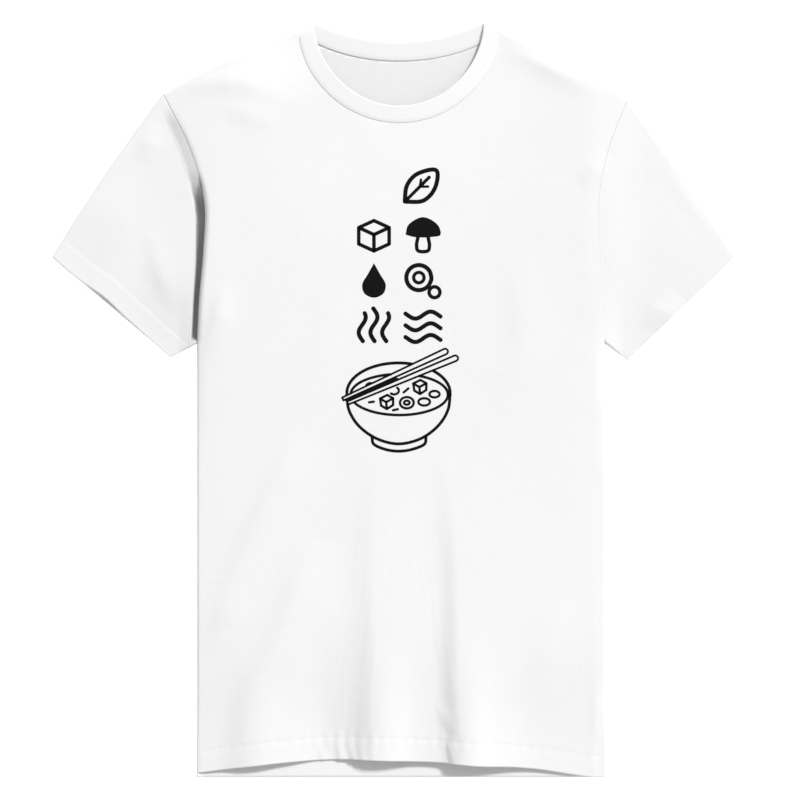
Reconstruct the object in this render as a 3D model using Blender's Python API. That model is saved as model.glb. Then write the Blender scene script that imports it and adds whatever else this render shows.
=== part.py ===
"""A short-sleeved crew-neck T-shirt that lies on its back with its front side up.

The frame is in metres. The origin is on the floor under the middle of the shirt's
outline. +X points right for someone who looks down on the front, +Y runs from the hem
to the collar, and +Z points up. The shirt is cut as five pieces of knitted cloth: a
front panel, a back panel, two sleeves and a ribbed neckband. Each is a sheet whose
middle surface is worked out here and then given its wall.
"""

import math
from dataclasses import dataclass

import bmesh
import bpy
import numpy as np

MM = 0.001

# The whole shirt.
LENGTH = 725 * MM  # collar's top to the hem of the back
WALL = 1.6 * MM  # cloth with its small creases
SEW_GAP = 2.4 * MM  # between a sleeve's sewn end and the panels, in plan
BAND_GAP = 2.9 * MM  # between the neckband and the panels
LEAST_ROOM = 3.8 * MM  # between the middles of front and back where the front is sunk
EDGE_GAP = 0.55 * MM  # from the seam line up to the front's edge, and down to the back's

# Heights of the cloth's middle surface over the floor.
BACK_HEIGHT = WALL / 2
SEAM_HEIGHT = 6.5 * MM  # the side and shoulder seams
SEAM_HEIGHT_HEM = 4.2 * MM  # the side seams at the hem
CHEST_HEIGHT = 18.5 * MM
HEM_HEIGHT = 9.5 * MM
SLEEVE_HEIGHT = 14 * MM
ROLL = 7 * MM  # how far in from a closed edge the front's steep roll ends
ROLL_SHARE = 0.66  # how much of the front's rise is in that roll
SLOPE = 34 * MM  # the length over which the rest of the rise fades in
BACK_ROLL = 9 * MM

# The neck, on its own middle line.
NECK_X = 5.2 * MM
NECK_HALF = 96 * MM
NECK_TOP = 355 * MM
FRONT_DROP = 89 * MM
BACK_DROP = 29 * MM
OPENING_HALF = 81.7 * MM
OPENING_TOP = LENGTH / 2
OPENING_FRONT_DROP = 80.6 * MM
OPENING_BACK_DROP = 18.6 * MM
BAND_STAND = 2.6 * MM  # how far the band's free edge stands over its seam in front
BAND_STAND_BACK = 1.2 * MM

# How far up the front hem lies from the back hem, across the body from left to right.
HEM_RISE = [
    (0.0, 4.3 * MM),
    (0.12, 11 * MM),
    (0.36, 18.2 * MM),
    (0.5, 17 * MM),
    (0.62, 15.2 * MM),
    (0.78, 11.2 * MM),
    (0.92, 2.8 * MM),
    (1.0, 0.3 * MM),
]


@dataclass
class Side:
    """The corners of one half of the outline, with x counted outwards from the middle."""

    sign: int
    body_x: float
    underarm_y: float
    tip: tuple  # of the shoulder
    neck: tuple  # where the shoulder meets the neckband
    cuff_out: tuple
    cuff_in: tuple
    armhole: list  # the points between the tip and the underarm
    groove: float  # how far the cloth sinks along the armhole seam
    groove_body: float  # the groove's reach into the body
    groove_sleeve: float  # and into the sleeve
    cuff_pull: float  # how far the cuff's front lies back from its rear


LEFT = Side(
    sign=-1,
    body_x=188.6 * MM,
    underarm_y=54.7 * MM,
    tip=(221.3 * MM, 293.8 * MM),
    neck=(NECK_HALF - NECK_X, NECK_TOP),
    cuff_out=(327.2 * MM, 137.3 * MM),
    cuff_in=(213.6 * MM, 41.3 * MM),
    armhole=[(195.5 * MM, 246.5 * MM), (182.0 * MM, 197 * MM), (182.5 * MM, 144 * MM)],
    groove=16 * MM,
    groove_body=4.5 * MM,
    groove_sleeve=10 * MM,
    cuff_pull=4.5 * MM,
)
RIGHT = Side(
    sign=1,
    body_x=203 * MM,
    underarm_y=54.7 * MM,
    tip=(224.6 * MM, 289 * MM),
    neck=(NECK_HALF + NECK_X, NECK_TOP),
    cuff_out=(328 * MM, 138.5 * MM),
    cuff_in=(224.6 * MM, 38.4 * MM),
    armhole=[(207 * MM, 244 * MM), (197 * MM, 197 * MM), (197.5 * MM, 144 * MM)],
    groove=2.4 * MM,
    groove_body=7 * MM,
    groove_sleeve=7 * MM,
    cuff_pull=0.8 * MM,
)
SHOULDER_BULGE = {-1: 3.2 * MM, 1: 0.0}
SLEEVE_BULGE = {-1: 2.6 * MM, 1: 0.2 * MM}
SIDE_SHARE = 0.62  # a panel's side: the share of its rows below the underarm
SHOULDER_SHARE = 0.28  # a panel's top: the share of its columns in each shoulder
BAND_SMOOTHING = 2


@dataclass
class Fold:
    """A soft ridge along a line, steeper on its left side going along the line."""

    line: list  # points of the crest
    heights: list  # at each of those points
    steep: float  # width of the steep side
    gentle: float  # width of the other side


FOLDS = [
    Fold([(-0.014, -0.060), (-0.021, -0.154), (-0.012, -0.250), (-0.010, -0.372)],
         [0.0, 0.0016, 0.0042, 0.0062], 0.015, 0.019),
    Fold([(0.046, -0.030), (0.056, -0.145), (0.063, -0.240), (0.072, -0.372)],
         [0.0, 0.0020, 0.0042, 0.0062], 0.011, 0.027),
    Fold([(-0.060, -0.130), (-0.090, -0.226), (-0.122, -0.288), (-0.143, -0.372)],
         [0.0, 0.0026, 0.0034, 0.0044], 0.024, 0.022),
    Fold([(-0.040, 0.100), (-0.078, -0.024), (-0.104, -0.077), (-0.147, -0.182)],
         [0.0, 0.0012, 0.0030, 0.0], 0.012, 0.020),
    Fold([(0.118, 0.170), (0.127, 0.090), (0.131, 0.020)],
         [0.0, 0.0012, 0.0], 0.014, 0.030),
    Fold([(-0.140, 0.150), (-0.157, 0.086), (-0.170, 0.020)],
         [0.0, 0.0018, 0.0], 0.009, 0.018),
    Fold([(0.176, -0.190), (0.158, -0.250), (0.136, -0.310)],
         [0.0, 0.0013, 0.0], 0.012, 0.022),
    Fold([(-0.200, 0.296), (-0.150, 0.303), (-0.095, 0.292)],
         [0.0, 0.0016, 0.0], 0.007, 0.012),
]


def smooth_line(points, shares):
    """Points of a Catmull-Rom curve through the given ones, at shares of its way."""
    p = np.array(points, float)
    padded = np.vstack([2 * p[0] - p[1], p, 2 * p[-1] - p[-2]])
    place = np.asarray(shares) * (len(p) - 1)
    i = np.minimum(place.astype(int), len(p) - 2)
    t = (place - i)[:, None]
    a, b, c, d = (padded[i + k] for k in range(4))
    return 0.5 * (
        2 * b + (c - a) * t + (2 * a - 5 * b + 4 * c - d) * t**2
        + (3 * b - a - 3 * c + d) * t**3
    )


def bowed_line(start, end, bulge, shares):
    """Points from start to end, bowed to the left of that way by the bulge."""
    a, b = np.array(start, float), np.array(end, float)
    t = np.asarray(shares)[:, None]
    along = (b - a) / np.linalg.norm(b - a)
    left = np.array([-along[1], along[0]])
    return a + (b - a) * t + left * bulge * 4 * t * (1 - t)


def mirrored(side, point):
    return np.array([side.sign * point[0], point[1]])


def armhole_line(side, shares):
    """The armhole seam in plan, from the shoulder's tip to the underarm."""
    points = [side.tip, *side.armhole, (side.body_x, side.underarm_y)]
    return smooth_line([mirrored(side, p) for p in points], shares)


def shoulder_line(side, shares):
    """The shoulder seam in plan, from its tip to the neckband."""
    return bowed_line(
        mirrored(side, side.tip), mirrored(side, side.neck),
        -side.sign * SHOULDER_BULGE[side.sign], shares,
    )


def sleeve_top_line(side, shares):
    """The sleeve's outer fold in plan, from the shoulder's tip to the cuff."""
    return bowed_line(
        mirrored(side, side.tip), mirrored(side, side.cuff_out),
        side.sign * SLEEVE_BULGE[side.sign], shares,
    )


def neck_line(front, shares, half=NECK_HALF, top=NECK_TOP, drops=(FRONT_DROP, BACK_DROP)):
    """A neckline in plan, from left to right, at shares of its way."""
    turn = (np.asarray(shares) - 0.5) * math.pi
    depth = np.maximum(np.cos(turn), 0)
    sink = depth ** 1.08 * drops[0] if front else depth ** 1.5 * drops[1]
    return np.stack([NECK_X + half * np.sin(turn), top - sink], axis=1)


def closed_edges():
    """The outline's closed edges: for each side the outer chain and the inner one."""
    shares = np.linspace(0, 1, 17)
    chains = []
    for side in (LEFT, RIGHT):
        top = np.vstack([
            sleeve_top_line(side, shares[::-1]), shoulder_line(side, shares[1:]),
        ])
        inner = np.array([
            mirrored(side, (side.body_x, -LENGTH)),
            mirrored(side, (side.body_x, side.underarm_y)),
            mirrored(side, side.cuff_in),
        ])
        chains += [top, inner]
    return chains


def distance_to(points, chain):
    """Each point's distance to a chain of straight stretches."""
    best = np.full(len(points), np.inf)
    for a, b in zip(chain[:-1], chain[1:]):
        way = b - a
        t = np.clip((points - a) @ way / (way @ way), 0, 1)
        best = np.minimum(best, np.linalg.norm(points - a - t[:, None] * way, axis=1))
    return best


def smooth_step(x, low, high):
    t = np.clip((x - low) / (high - low), 0, 1)
    return t * t * (3 - 2 * t)


def fold_height(points, fold):
    """What one fold adds to the front's height."""
    line = smooth_line(fold.line, np.linspace(0, 1, 25))
    heights = smooth_line([(h, 0) for h in fold.heights], np.linspace(0, 1, 25))[:, 0]
    best = np.full(len(points), np.inf)
    across, height = np.zeros(len(points)), np.zeros(len(points))
    for i in range(len(line) - 1):
        way = line[i + 1] - line[i]
        t = np.clip((points - line[i]) @ way / (way @ way), 0, 1)
        off = points - line[i] - t[:, None] * way
        far = np.linalg.norm(off, axis=1)
        nearer = far < best
        best[nearer] = far[nearer]
        across[nearer] = np.sign(off @ np.array([-way[1], way[0]]))[nearer]
        height[nearer] = (heights[i] + t * (heights[i + 1] - heights[i]))[nearer]
    width = np.where(across < 0, fold.steep, fold.gentle)
    return height * np.exp(-0.5 * (best / width) ** 2)


def groove_depth(points, side):
    """How far the front sinks along one armhole seam."""
    shares = np.linspace(0, 1, 25)
    seam = armhole_line(side, shares)
    far = distance_to(points, seam)
    seam_x = np.interp(points[:, 1], seam[::-1, 1], side.sign * seam[::-1, 0])
    in_sleeve = side.sign * points[:, 0] > seam_x
    reach = np.where(in_sleeve, side.groove_sleeve, side.groove_body)
    ends = smooth_step(points[:, 1], side.tip[1] + 2 * MM, side.tip[1] - 90 * MM)
    below = smooth_step(points[:, 1], side.underarm_y, side.underarm_y + 36 * MM)
    shape = 1 - smooth_step(far, 0.25 * reach, reach)
    return side.groove * shape * ends * below


def seam_height(points):
    """The height of the seams over the floor, which sinks towards the hem."""
    return SEAM_HEIGHT_HEM + (SEAM_HEIGHT - SEAM_HEIGHT_HEM) * smooth_step(
        points[:, 1], -LENGTH / 2, -0.1
    )


def front_height(points, edges, gap):
    """The height of the front's middle surface over each point of the plan."""
    x, y = points[:, 0], points[:, 1]
    body = HEM_HEIGHT + (CHEST_HEIGHT - HEM_HEIGHT) * smooth_step(y, -LENGTH / 2, 0.08)
    beyond = np.maximum(-x - LEFT.body_x, x - RIGHT.body_x)
    sleeve = smooth_step(beyond, -30 * MM, 70 * MM)
    plateau = body + (SLEEVE_HEIGHT - body) * sleeve * smooth_step(y, 0, 0.04)
    edge = np.min([distance_to(points, chain) for chain in edges], axis=0)
    roll = np.sqrt(1 - (1 - np.minimum(edge / ROLL, 1)) ** 2)
    rise = ROLL_SHARE * roll + (1 - ROLL_SHARE) * (1 - np.exp(-edge / SLOPE))
    low = seam_height(points) + gap
    height = low + (plateau - low) * rise
    height += smooth_step(edge, 0, 14 * MM) * sum(fold_height(points, f) for f in FOLDS)
    for side in (LEFT, RIGHT):
        floor = np.minimum(height, back_height(points, edges, gap) + LEAST_ROOM)
        height = np.maximum(height - groove_depth(points, side), floor)
    return height


def back_height(points, edges, gap):
    """The height of the back's middle surface: flat on the floor, and up at its seams."""
    edge = np.min([distance_to(points, chain) for chain in edges], axis=0)
    roll = np.sqrt(1 - (1 - np.minimum(edge / BACK_ROLL, 1)) ** 2)
    high = seam_height(points) - gap
    return high + (BACK_HEIGHT - high) * roll


def coons(bottom, top, left, right, u, v):
    """A plan grid, rows by columns, between four border lines given at shares u and v."""
    a, b = u[None, :, None], v[:, None, None]
    corners = (
        (1 - a) * (1 - b) * bottom[0] + a * (1 - b) * bottom[-1]
        + (1 - a) * b * top[0] + a * b * top[-1]
    )
    across = (1 - b) * bottom[None] + b * top[None]
    return across + (1 - a) * left[:, None] + a * right[:, None] - corners


def side_line(side, hem_y, shares):
    """A panel's side in plan: up the side seam, then along the armhole to the tip."""
    seam = np.minimum(shares / SIDE_SHARE, 1)[:, None]
    low = mirrored(side, (side.body_x, hem_y))
    high = mirrored(side, (side.body_x, side.underarm_y))
    arm = np.clip((1 - shares) / (1 - SIDE_SHARE), 0, 1)
    return np.where(shares[:, None] <= SIDE_SHARE, low + (high - low) * seam,
                    armhole_line(side, arm))


def top_line(front, shares):
    """A panel's top in plan: a shoulder, the neckline and the other shoulder."""
    left = shoulder_line(LEFT, np.clip(shares / SHOULDER_SHARE, 0, 1))
    right = shoulder_line(RIGHT, np.clip((1 - shares) / SHOULDER_SHARE, 0, 1))
    middle = np.clip((shares - SHOULDER_SHARE) / (1 - 2 * SHOULDER_SHARE), 0, 1)
    neck = neck_line(front, middle)
    on_left, on_right = shares <= SHOULDER_SHARE, shares >= 1 - SHOULDER_SHARE
    return np.where(on_left[:, None], left, np.where(on_right[:, None], right, neck))


def panel_plan(front, u, v):
    """A panel's grid in plan: columns from left to right, rows from hem to shoulders."""
    hem = -LENGTH / 2 + (np.interp(u, *zip(*HEM_RISE)) if front else 0 * u)
    x = -LEFT.body_x + (LEFT.body_x + RIGHT.body_x) * u
    bottom = np.stack([x, hem], axis=1)
    left, right = side_line(LEFT, hem[0], v), side_line(RIGHT, hem[-1], v)
    return coons(bottom, top_line(front, u), left, right, u, v)


def sleeve_plan(side, front, across, along):
    """A sleeve layer's grid in plan: rows across it, columns from armhole to cuff."""
    shift = np.array([side.sign * SEW_GAP, 0])
    armhole = armhole_line(side, across) + shift
    cuff_out, cuff_in = mirrored(side, side.cuff_out), mirrored(side, side.cuff_in)
    cuff = cuff_out + (cuff_in - cuff_out) * across[:, None]
    way = (cuff_in - cuff_out) / np.linalg.norm(cuff_in - cuff_out)
    to_body = np.array([way[1], -way[0]]) * side.sign
    pull = side.cuff_pull * np.sin(math.pi * across) ** 0.7 if front else 0 * across
    cuff = cuff + pull[:, None] * to_body
    upper = sleeve_top_line(side, along) + shift * (1 - along[:, None])
    lower = armhole[-1] + (cuff_in - armhole[-1]) * along[:, None]
    return coons(upper, lower, armhole, cuff, along, across)


def stretches(*parts):
    """Shares from 0 to 1 through stretches, each an end share and its step count."""
    shares, last = [0.0], 0.0
    for end, steps in parts:
        shares += [last + (end - last) * (i + 1) / steps for i in range(steps)]
        last = end
    return np.array(shares)


def cloth_body(name, points, wrapped=False):
    """Thickens a grid of middle points into one closed body.

    points is rows by columns by 3. When wrapped, the last row joins the first again.
    The grid's faces look up where columns run to the right and rows run up.
    """
    rows, columns = points.shape[:2]
    bm = bmesh.new()
    middle = [[bm.verts.new(p) for p in row] for row in points]
    for i in range(rows if wrapped else rows - 1):
        lower, upper = middle[i], middle[(i + 1) % rows]
        for j in range(columns - 1):
            bm.faces.new((lower[j], lower[j + 1], upper[j + 1], upper[j]))
    bm.normal_update()
    bm.verts.index_update()
    normals = [v.normal.copy() for v in bm.verts]
    faces = [[v.index for v in f.verts] for f in bm.faces]
    borders = [
        (loop.vert.index, loop.link_loop_next.vert.index)
        for f in bm.faces for loop in f.loops if loop.edge.is_boundary
    ]
    bm.free()
    solid = bmesh.new()
    flat = points.reshape(-1, 3)
    outer = [solid.verts.new(p + np.array(n) * WALL / 2) for p, n in zip(flat, normals)]
    inner = [solid.verts.new(p - np.array(n) * WALL / 2) for p, n in zip(flat, normals)]
    for face in faces:
        solid.faces.new([outer[i] for i in face])
        solid.faces.new([inner[i] for i in reversed(face)])
    for a, b in borders:
        solid.faces.new((outer[b], outer[a], inner[a], inner[b]))
    mesh = bpy.data.meshes.new(name)
    solid.to_mesh(mesh)
    solid.free()
    body = bpy.data.objects.new(name, mesh)
    bpy.context.scene.collection.objects.link(body)
    return body


def with_height(plan, height, *details):
    """The plan grid's points with their height as z."""
    flat = plan.reshape(-1, 2)
    z = height(flat, *details)
    return np.concatenate([flat, z[:, None]], axis=1).reshape(*plan.shape[:2], 3)


def front_panel(edges):
    """The body's front: raised over the back, with long soft folds down to the hem."""
    u = stretches((0.004, 1), (0.012, 1), (0.03, 1), (0.07, 2), (0.28, 4), (0.72, 16),
                  (0.93, 4), (0.97, 2), (0.988, 1), (0.996, 1), (1, 1))
    v = stretches((0.56, 15), (SIDE_SHARE, 3), (0.9, 8), (0.97, 3), (0.99, 2), (1, 2))
    plan = panel_plan(True, u, v)
    return cloth_body("body_front", with_height(plan, front_height, edges, EDGE_GAP))


def back_panel(edges):
    """The body's back: flat on the floor and turned up at its side and shoulder seams."""
    u = stretches((0.005, 1), (0.013, 1), (0.03, 1), (0.28, 3), (0.72, 10), (0.97, 3),
                  (0.987, 1), (0.995, 1), (1, 1))
    v = stretches((SIDE_SHARE, 9), (0.94, 5), (0.98, 2), (0.993, 1), (1, 1))
    plan = panel_plan(False, u, v)
    return cloth_body("body_back", with_height(plan, back_height, edges, EDGE_GAP))


def sleeve(name, side, edges):
    """One short sleeve: a flattened tube from the armhole to the cuff."""
    across = stretches((0.006, 1), (0.02, 1), (0.05, 1), (0.95, 9), (0.98, 1), (0.994, 1),
                       (1, 1))
    under = stretches((0.008, 1), (0.03, 1), (0.07, 1), (0.93, 5), (0.97, 1), (0.992, 1),
                      (1, 1))[1:-1]
    along = stretches((0.06, 3), (0.2, 3), (1, 6))
    front = with_height(sleeve_plan(side, True, across, along), front_height, edges, 0)
    back = with_height(sleeve_plan(side, False, under, along), back_height, edges, 0)
    ring = np.concatenate([front, back[::-1]])
    return cloth_body(name, ring if side.sign < 0 else ring[::-1], wrapped=True)


def band_ring(seam, edges, steps=36):
    """One edge of the neckband, all round: along the front, then back along the back."""
    shares = np.linspace(0, 1, steps + 1)
    if seam:
        shape = (NECK_HALF - BAND_GAP, NECK_TOP)
        drops = (FRONT_DROP - BAND_GAP, BACK_DROP - BAND_GAP)
    else:
        shape = (OPENING_HALF, OPENING_TOP)
        drops = (OPENING_FRONT_DROP, OPENING_BACK_DROP)
    front, back = neck_line(True, shares, *shape, drops), neck_line(False, shares, *shape, drops)
    seams = [neck_line(f, shares, NECK_HALF - BAND_GAP, NECK_TOP,
                       (FRONT_DROP - BAND_GAP, BACK_DROP - BAND_GAP)) for f in (True, False)]
    stand = 0 if seam else 1
    high = front_height(seams[0], edges, 0) + stand * BAND_STAND
    low = back_height(seams[1], edges, 0) + stand * BAND_STAND_BACK
    level = (high[[0, -1]] + low[[0, -1]]) / 2
    high[[0, -1]], low[[0, -1]] = level, level
    front = np.concatenate([front, high[:, None]], axis=1)
    back = np.concatenate([back, low[:, None]], axis=1)
    return np.concatenate([front, back[-2:0:-1]])


def neckband(edges):
    """The ribbed band round the neck opening, folded over at both shoulders."""
    seam, free = band_ring(True, edges), band_ring(False, edges)
    for _ in range(BAND_SMOOTHING):
        free = (np.roll(free, 1, axis=0) + 2 * free + np.roll(free, -1, axis=0)) / 4
    across = np.linspace(0, 1, 4)[None, :, None]
    ring = seam[:, None] + (free - seam)[:, None] * across
    return cloth_body("neckband", ring[:, ::-1], wrapped=True)


def cloth_material(name, color):
    material = bpy.data.materials.new(name)
    material.use_nodes = True
    shader = material.node_tree.nodes["Principled BSDF"]
    shader.inputs["Base Color"].default_value = (*color, 1)
    shader.inputs["Roughness"].default_value = 0.9
    material.diffuse_color = (*color, 1)
    return material


def main():
    for old in list(bpy.data.objects):
        bpy.data.objects.remove(old, do_unlink=True)
    edges = closed_edges()
    bodies = [
        front_panel(edges),
        back_panel(edges),
        sleeve("sleeve_left", LEFT, edges),
        sleeve("sleeve_right", RIGHT, edges),
        neckband(edges),
    ]
    for body in bodies:
        color = (0.86, 0.86, 0.85) if body.name == "neckband" else (0.88, 0.88, 0.87)
        body.data.materials.append(cloth_material(body.name + "_cotton", color))


main()
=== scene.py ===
"""The looks of a short-sleeved crew-neck T-shirt that lies on its back, front side up.

Everything is in metres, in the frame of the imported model: +X to the right for someone
who looks down on the front, +Y from the hem to the collar and +Z up. The shirt is five
pieces of knitted cotton, with turned and stitched hems, a ribbed neckband, and a print
of a soup bowl and of small signs for what goes into it.
"""

import logging
import math
from dataclasses import dataclass, field
from enum import Enum
from typing import Any, Callable, Sequence

import bmesh
import bpy
import numpy as np
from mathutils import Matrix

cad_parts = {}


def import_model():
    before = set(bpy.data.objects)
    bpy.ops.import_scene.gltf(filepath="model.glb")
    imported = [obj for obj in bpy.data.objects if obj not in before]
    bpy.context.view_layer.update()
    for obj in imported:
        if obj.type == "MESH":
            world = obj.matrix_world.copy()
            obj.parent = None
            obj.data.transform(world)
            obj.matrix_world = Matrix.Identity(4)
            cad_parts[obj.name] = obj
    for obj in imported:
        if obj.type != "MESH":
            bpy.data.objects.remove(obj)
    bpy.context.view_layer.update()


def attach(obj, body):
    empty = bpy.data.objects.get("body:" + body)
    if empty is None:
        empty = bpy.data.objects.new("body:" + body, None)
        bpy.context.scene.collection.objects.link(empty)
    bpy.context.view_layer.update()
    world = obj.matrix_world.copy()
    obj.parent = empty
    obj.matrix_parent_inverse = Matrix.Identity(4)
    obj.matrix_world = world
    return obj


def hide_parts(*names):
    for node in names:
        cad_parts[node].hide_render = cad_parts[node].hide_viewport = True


MM = 0.001
CLOTH = 0.8 * MM  # the thickness of one layer of jersey
HEM_DEPTH = 20 * MM

log = logging.getLogger("t_shirt")
Array = np.ndarray
Point = tuple[float, float]


# ---------------------------------------------------------------- shader building


class Value:
    """A shader socket that can be used in Python expressions."""

    def __init__(self, shader: "Shader", socket: bpy.types.NodeSocket) -> None:
        """Wraps an output socket of one of the shader's nodes."""
        self.shader = shader
        self.socket = socket

    def _math(self, operation: str, *values: Any) -> "Value":
        """Adds a Math node and returns its result."""
        return self.shader.node(
            "ShaderNodeMath", {"operation": operation}, dict(enumerate(values))
        )

    def __add__(self, other: Any) -> "Value":
        """self + other."""
        return self._math("ADD", self, other)

    def __radd__(self, other: float) -> "Value":
        """other + self."""
        return self._math("ADD", other, self)

    def __sub__(self, other: Any) -> "Value":
        """self - other."""
        return self._math("SUBTRACT", self, other)

    def __rsub__(self, other: float) -> "Value":
        """other - self."""
        return self._math("SUBTRACT", other, self)

    def __mul__(self, other: Any) -> "Value":
        """self * other."""
        return self._math("MULTIPLY", self, other)

    def __rmul__(self, other: float) -> "Value":
        """other * self."""
        return self._math("MULTIPLY", other, self)

    def __truediv__(self, other: Any) -> "Value":
        """self / other."""
        return self._math("DIVIDE", self, other)

    def __pow__(self, other: Any) -> "Value":
        """self to the power of other."""
        return self._math("POWER", self, other)

    def __abs__(self) -> "Value":
        """The size of self without its sign."""
        return self._math("ABSOLUTE", self)

    def fract(self) -> "Value":
        """What is left of self after its whole part."""
        return self._math("FRACT", self)

    def sine(self) -> "Value":
        """The sine of self."""
        return self._math("SINE", self)


class Shader:
    """One material's nodes, round a single Principled shader."""

    def __init__(self, name: str) -> None:
        """Creates an empty material with a Principled shader on its output."""
        self.material = bpy.data.materials.new(name)
        self.material.use_nodes = True
        self.tree = self.material.node_tree
        self.tree.nodes.clear()
        output = self.tree.nodes.new("ShaderNodeOutputMaterial")
        self.principled = self.tree.nodes.new("ShaderNodeBsdfPrincipled")
        self.tree.links.new(self.principled.outputs[0], output.inputs["Surface"])

    def node(
        self,
        kind: str,
        settings: dict[str, Any],
        inputs: dict[Any, Any],
        output: Any = 0,
    ) -> Value:
        """Adds any node.

        Args:
            kind: the node's type, such as ShaderNodeMath.
            settings: the node's own properties; "ramp" holds a colour ramp's stops.
            inputs: for each input socket, a number, a tuple or a Value.
            output: the name or index of the socket that is returned.

        Returns:
            The chosen output as a Value.
        """
        node = self.tree.nodes.new(kind)
        for key, setting in settings.items():
            if key == "ramp":
                for index, (place, shade) in enumerate(setting):
                    stops = node.color_ramp.elements
                    stop = stops[index] if index < 2 else stops.new(place)
                    stop.position = place
                    stop.color = (shade, shade, shade, 1)
            else:
                setattr(node, key, setting)
        for key, value in inputs.items():
            if isinstance(value, Value):
                self.tree.links.new(value.socket, node.inputs[key])
            else:
                node.inputs[key].default_value = value
        return Value(self, node.outputs[output])

    def place(self) -> Value:
        """The point in the object's own coordinates."""
        return self.node("ShaderNodeTexCoord", {}, {}, "Object")

    def along_cloth(self) -> tuple[Value, Value]:
        """The two coordinates of the piece's UV map, in metres over the flat cloth."""
        uv = self.node("ShaderNodeUVMap", {"uv_map": "cloth"}, {})
        split = "ShaderNodeSeparateXYZ"
        return self.node(split, {}, {0: uv}, "X"), self.node(split, {}, {0: uv}, "Y")

    def noise(self, scale: float, detail: float = 2.0, stretch: Any = None) -> Value:
        """Soft noise from 0 to 1 in the object's own coordinates.

        Args:
            scale: how many cells fit in a metre.
            detail: how many finer layers there are.
            stretch: the scale along each axis, if it isn't the same.

        Returns:
            The noise as a Value.
        """
        place = self.place()
        if stretch:
            place = self.node("ShaderNodeMapping", {}, {"Vector": place, "Scale": stretch})
        values = {"Vector": place, "Scale": scale, "Detail": detail, "Roughness": 0.55}
        return self.node("ShaderNodeTexNoise", {}, values, "Fac")

    def mix(self, factor: Value, low: Sequence[float], high: Sequence[float]) -> Value:
        """Mixes two colours, from low at factor 0 to high at 1."""
        inputs = {0: factor, 6: (*low, 1), 7: (*high, 1)}
        return self.node("ShaderNodeMix", {"data_type": "RGBA"}, inputs, 2)

    def darken(self, colour: Value, amount: Value, floor: Sequence[float]) -> Value:
        """Mixes a varying colour towards a darker one by an amount."""
        inputs = {0: amount, 6: colour, 7: (*floor, 1)}
        return self.node("ShaderNodeMix", {"data_type": "RGBA"}, inputs, 2)

    def bump(self, height: Value, distance: float, strength: float = 1.0) -> None:
        """Feeds the shader's normal from a height, in shares of the distance in metres."""
        values = {"Height": height, "Distance": distance, "Strength": strength}
        self.link("Normal", self.node("ShaderNodeBump", {}, values, "Normal"))

    def link(self, name: str, value: Value) -> None:
        """Feeds one of the Principled shader's sockets."""
        self.tree.links.new(value.socket, self.principled.inputs[name])

    def set(self, **numbers: float) -> None:
        """Sets the Principled shader's constant sockets, with _ for a space."""
        for name, number in numbers.items():
            self.principled.inputs[name.replace("_", " ")].default_value = number


@dataclass(frozen=True)
class Jersey:
    """White cotton jersey: fine V-shaped stitches and a soft, dry surface."""

    light: tuple[float, float, float] = (0.820, 0.820, 0.821)
    deep: tuple[float, float, float] = (0.790, 0.790, 0.792)
    # The dark grey that painted shade mixes the colour towards, in gaps and recesses.
    seam: tuple[float, float, float] = (0.25, 0.25, 0.252)
    wale: float = 0.80 * MM  # the width of one column of stitches
    course: float = 0.60 * MM  # the height of one row of stitches

    def knit(self, shader: Shader) -> Value:
        """The height of the knitted loops, from 0 between them to 1 on top."""
        across, along = shader.along_cloth()
        column = (across / self.wale).fract()
        arm = abs(column - 0.5) * 2
        loop = ((along / self.course + arm * 0.75) * (2 * math.pi)).sine() * 0.5 + 0.5
        return loop * (1 - arm**4) * (0.35 + arm * 0.65)

    def material(self, name: str) -> bpy.types.Material:
        """Builds the finish; the piece's shade attribute paints shade into its deep gaps and recesses.
        """
        shader = Shader(name)
        cloud = shader.noise(26, 3)
        fuzz = shader.noise(900, 2)
        colour = shader.mix(cloud * 0.75 + fuzz * 0.25, self.deep, self.light)
        # Painted shade: the shade attribute darkens the colour in the left armhole's gap, on the wall
        # beside it and inside the back by the neck.
        shade = shader.node("ShaderNodeAttribute", {"attribute_name": "shade"}, {}, "Fac")
        shader.link("Base Color", shader.darken(colour, shade, self.seam))
        shader.link("Roughness", 0.84 + fuzz * 0.12)
        soft = shader.noise(60, 3) * 0.9 + shader.noise(240, 2) * 0.45
        shader.bump(self.knit(shader) * 0.28 + soft, 0.22 * MM, 0.8)
        shader.set(Sheen_Weight=0.12, Sheen_Roughness=0.5, Specular_IOR_Level=0.25)
        return shader.material


@dataclass(frozen=True)
class Rib:
    """White cotton rib: narrow ridges that run across the band."""

    light: tuple[float, float, float] = (0.840, 0.840, 0.841)
    deep: tuple[float, float, float] = (0.806, 0.806, 0.808)
    ridge: float = 1.2 * MM

    def material(self, name: str) -> bpy.types.Material:
        """Builds the finish, whose ridges follow the piece's UV map."""
        shader = Shader(name)
        round_neck, over_band = shader.along_cloth()
        wave = ((round_neck / self.ridge) * (2 * math.pi)).sine() * 0.5 + 0.5
        loop = ((over_band / (0.7 * MM)) * (2 * math.pi)).sine() * 0.5 + 0.5
        fuzz = shader.noise(800, 2)
        # The grooves between the ridges are painted darker, as painted shade, with random tone mixed in.
        colour = shader.mix(wave * 0.6 + fuzz * 0.4, self.deep, self.light)
        shader.link("Base Color", colour)
        shader.link("Roughness", 0.84 + fuzz * 0.12)
        height = wave**0.6 + loop * wave * 0.2 + shader.noise(70, 2) * 1.2
        shader.bump(height, 0.09 * MM, 0.7)
        shader.set(Sheen_Weight=0.12, Sheen_Roughness=0.5, Specular_IOR_Level=0.25)
        return shader.material


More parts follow.
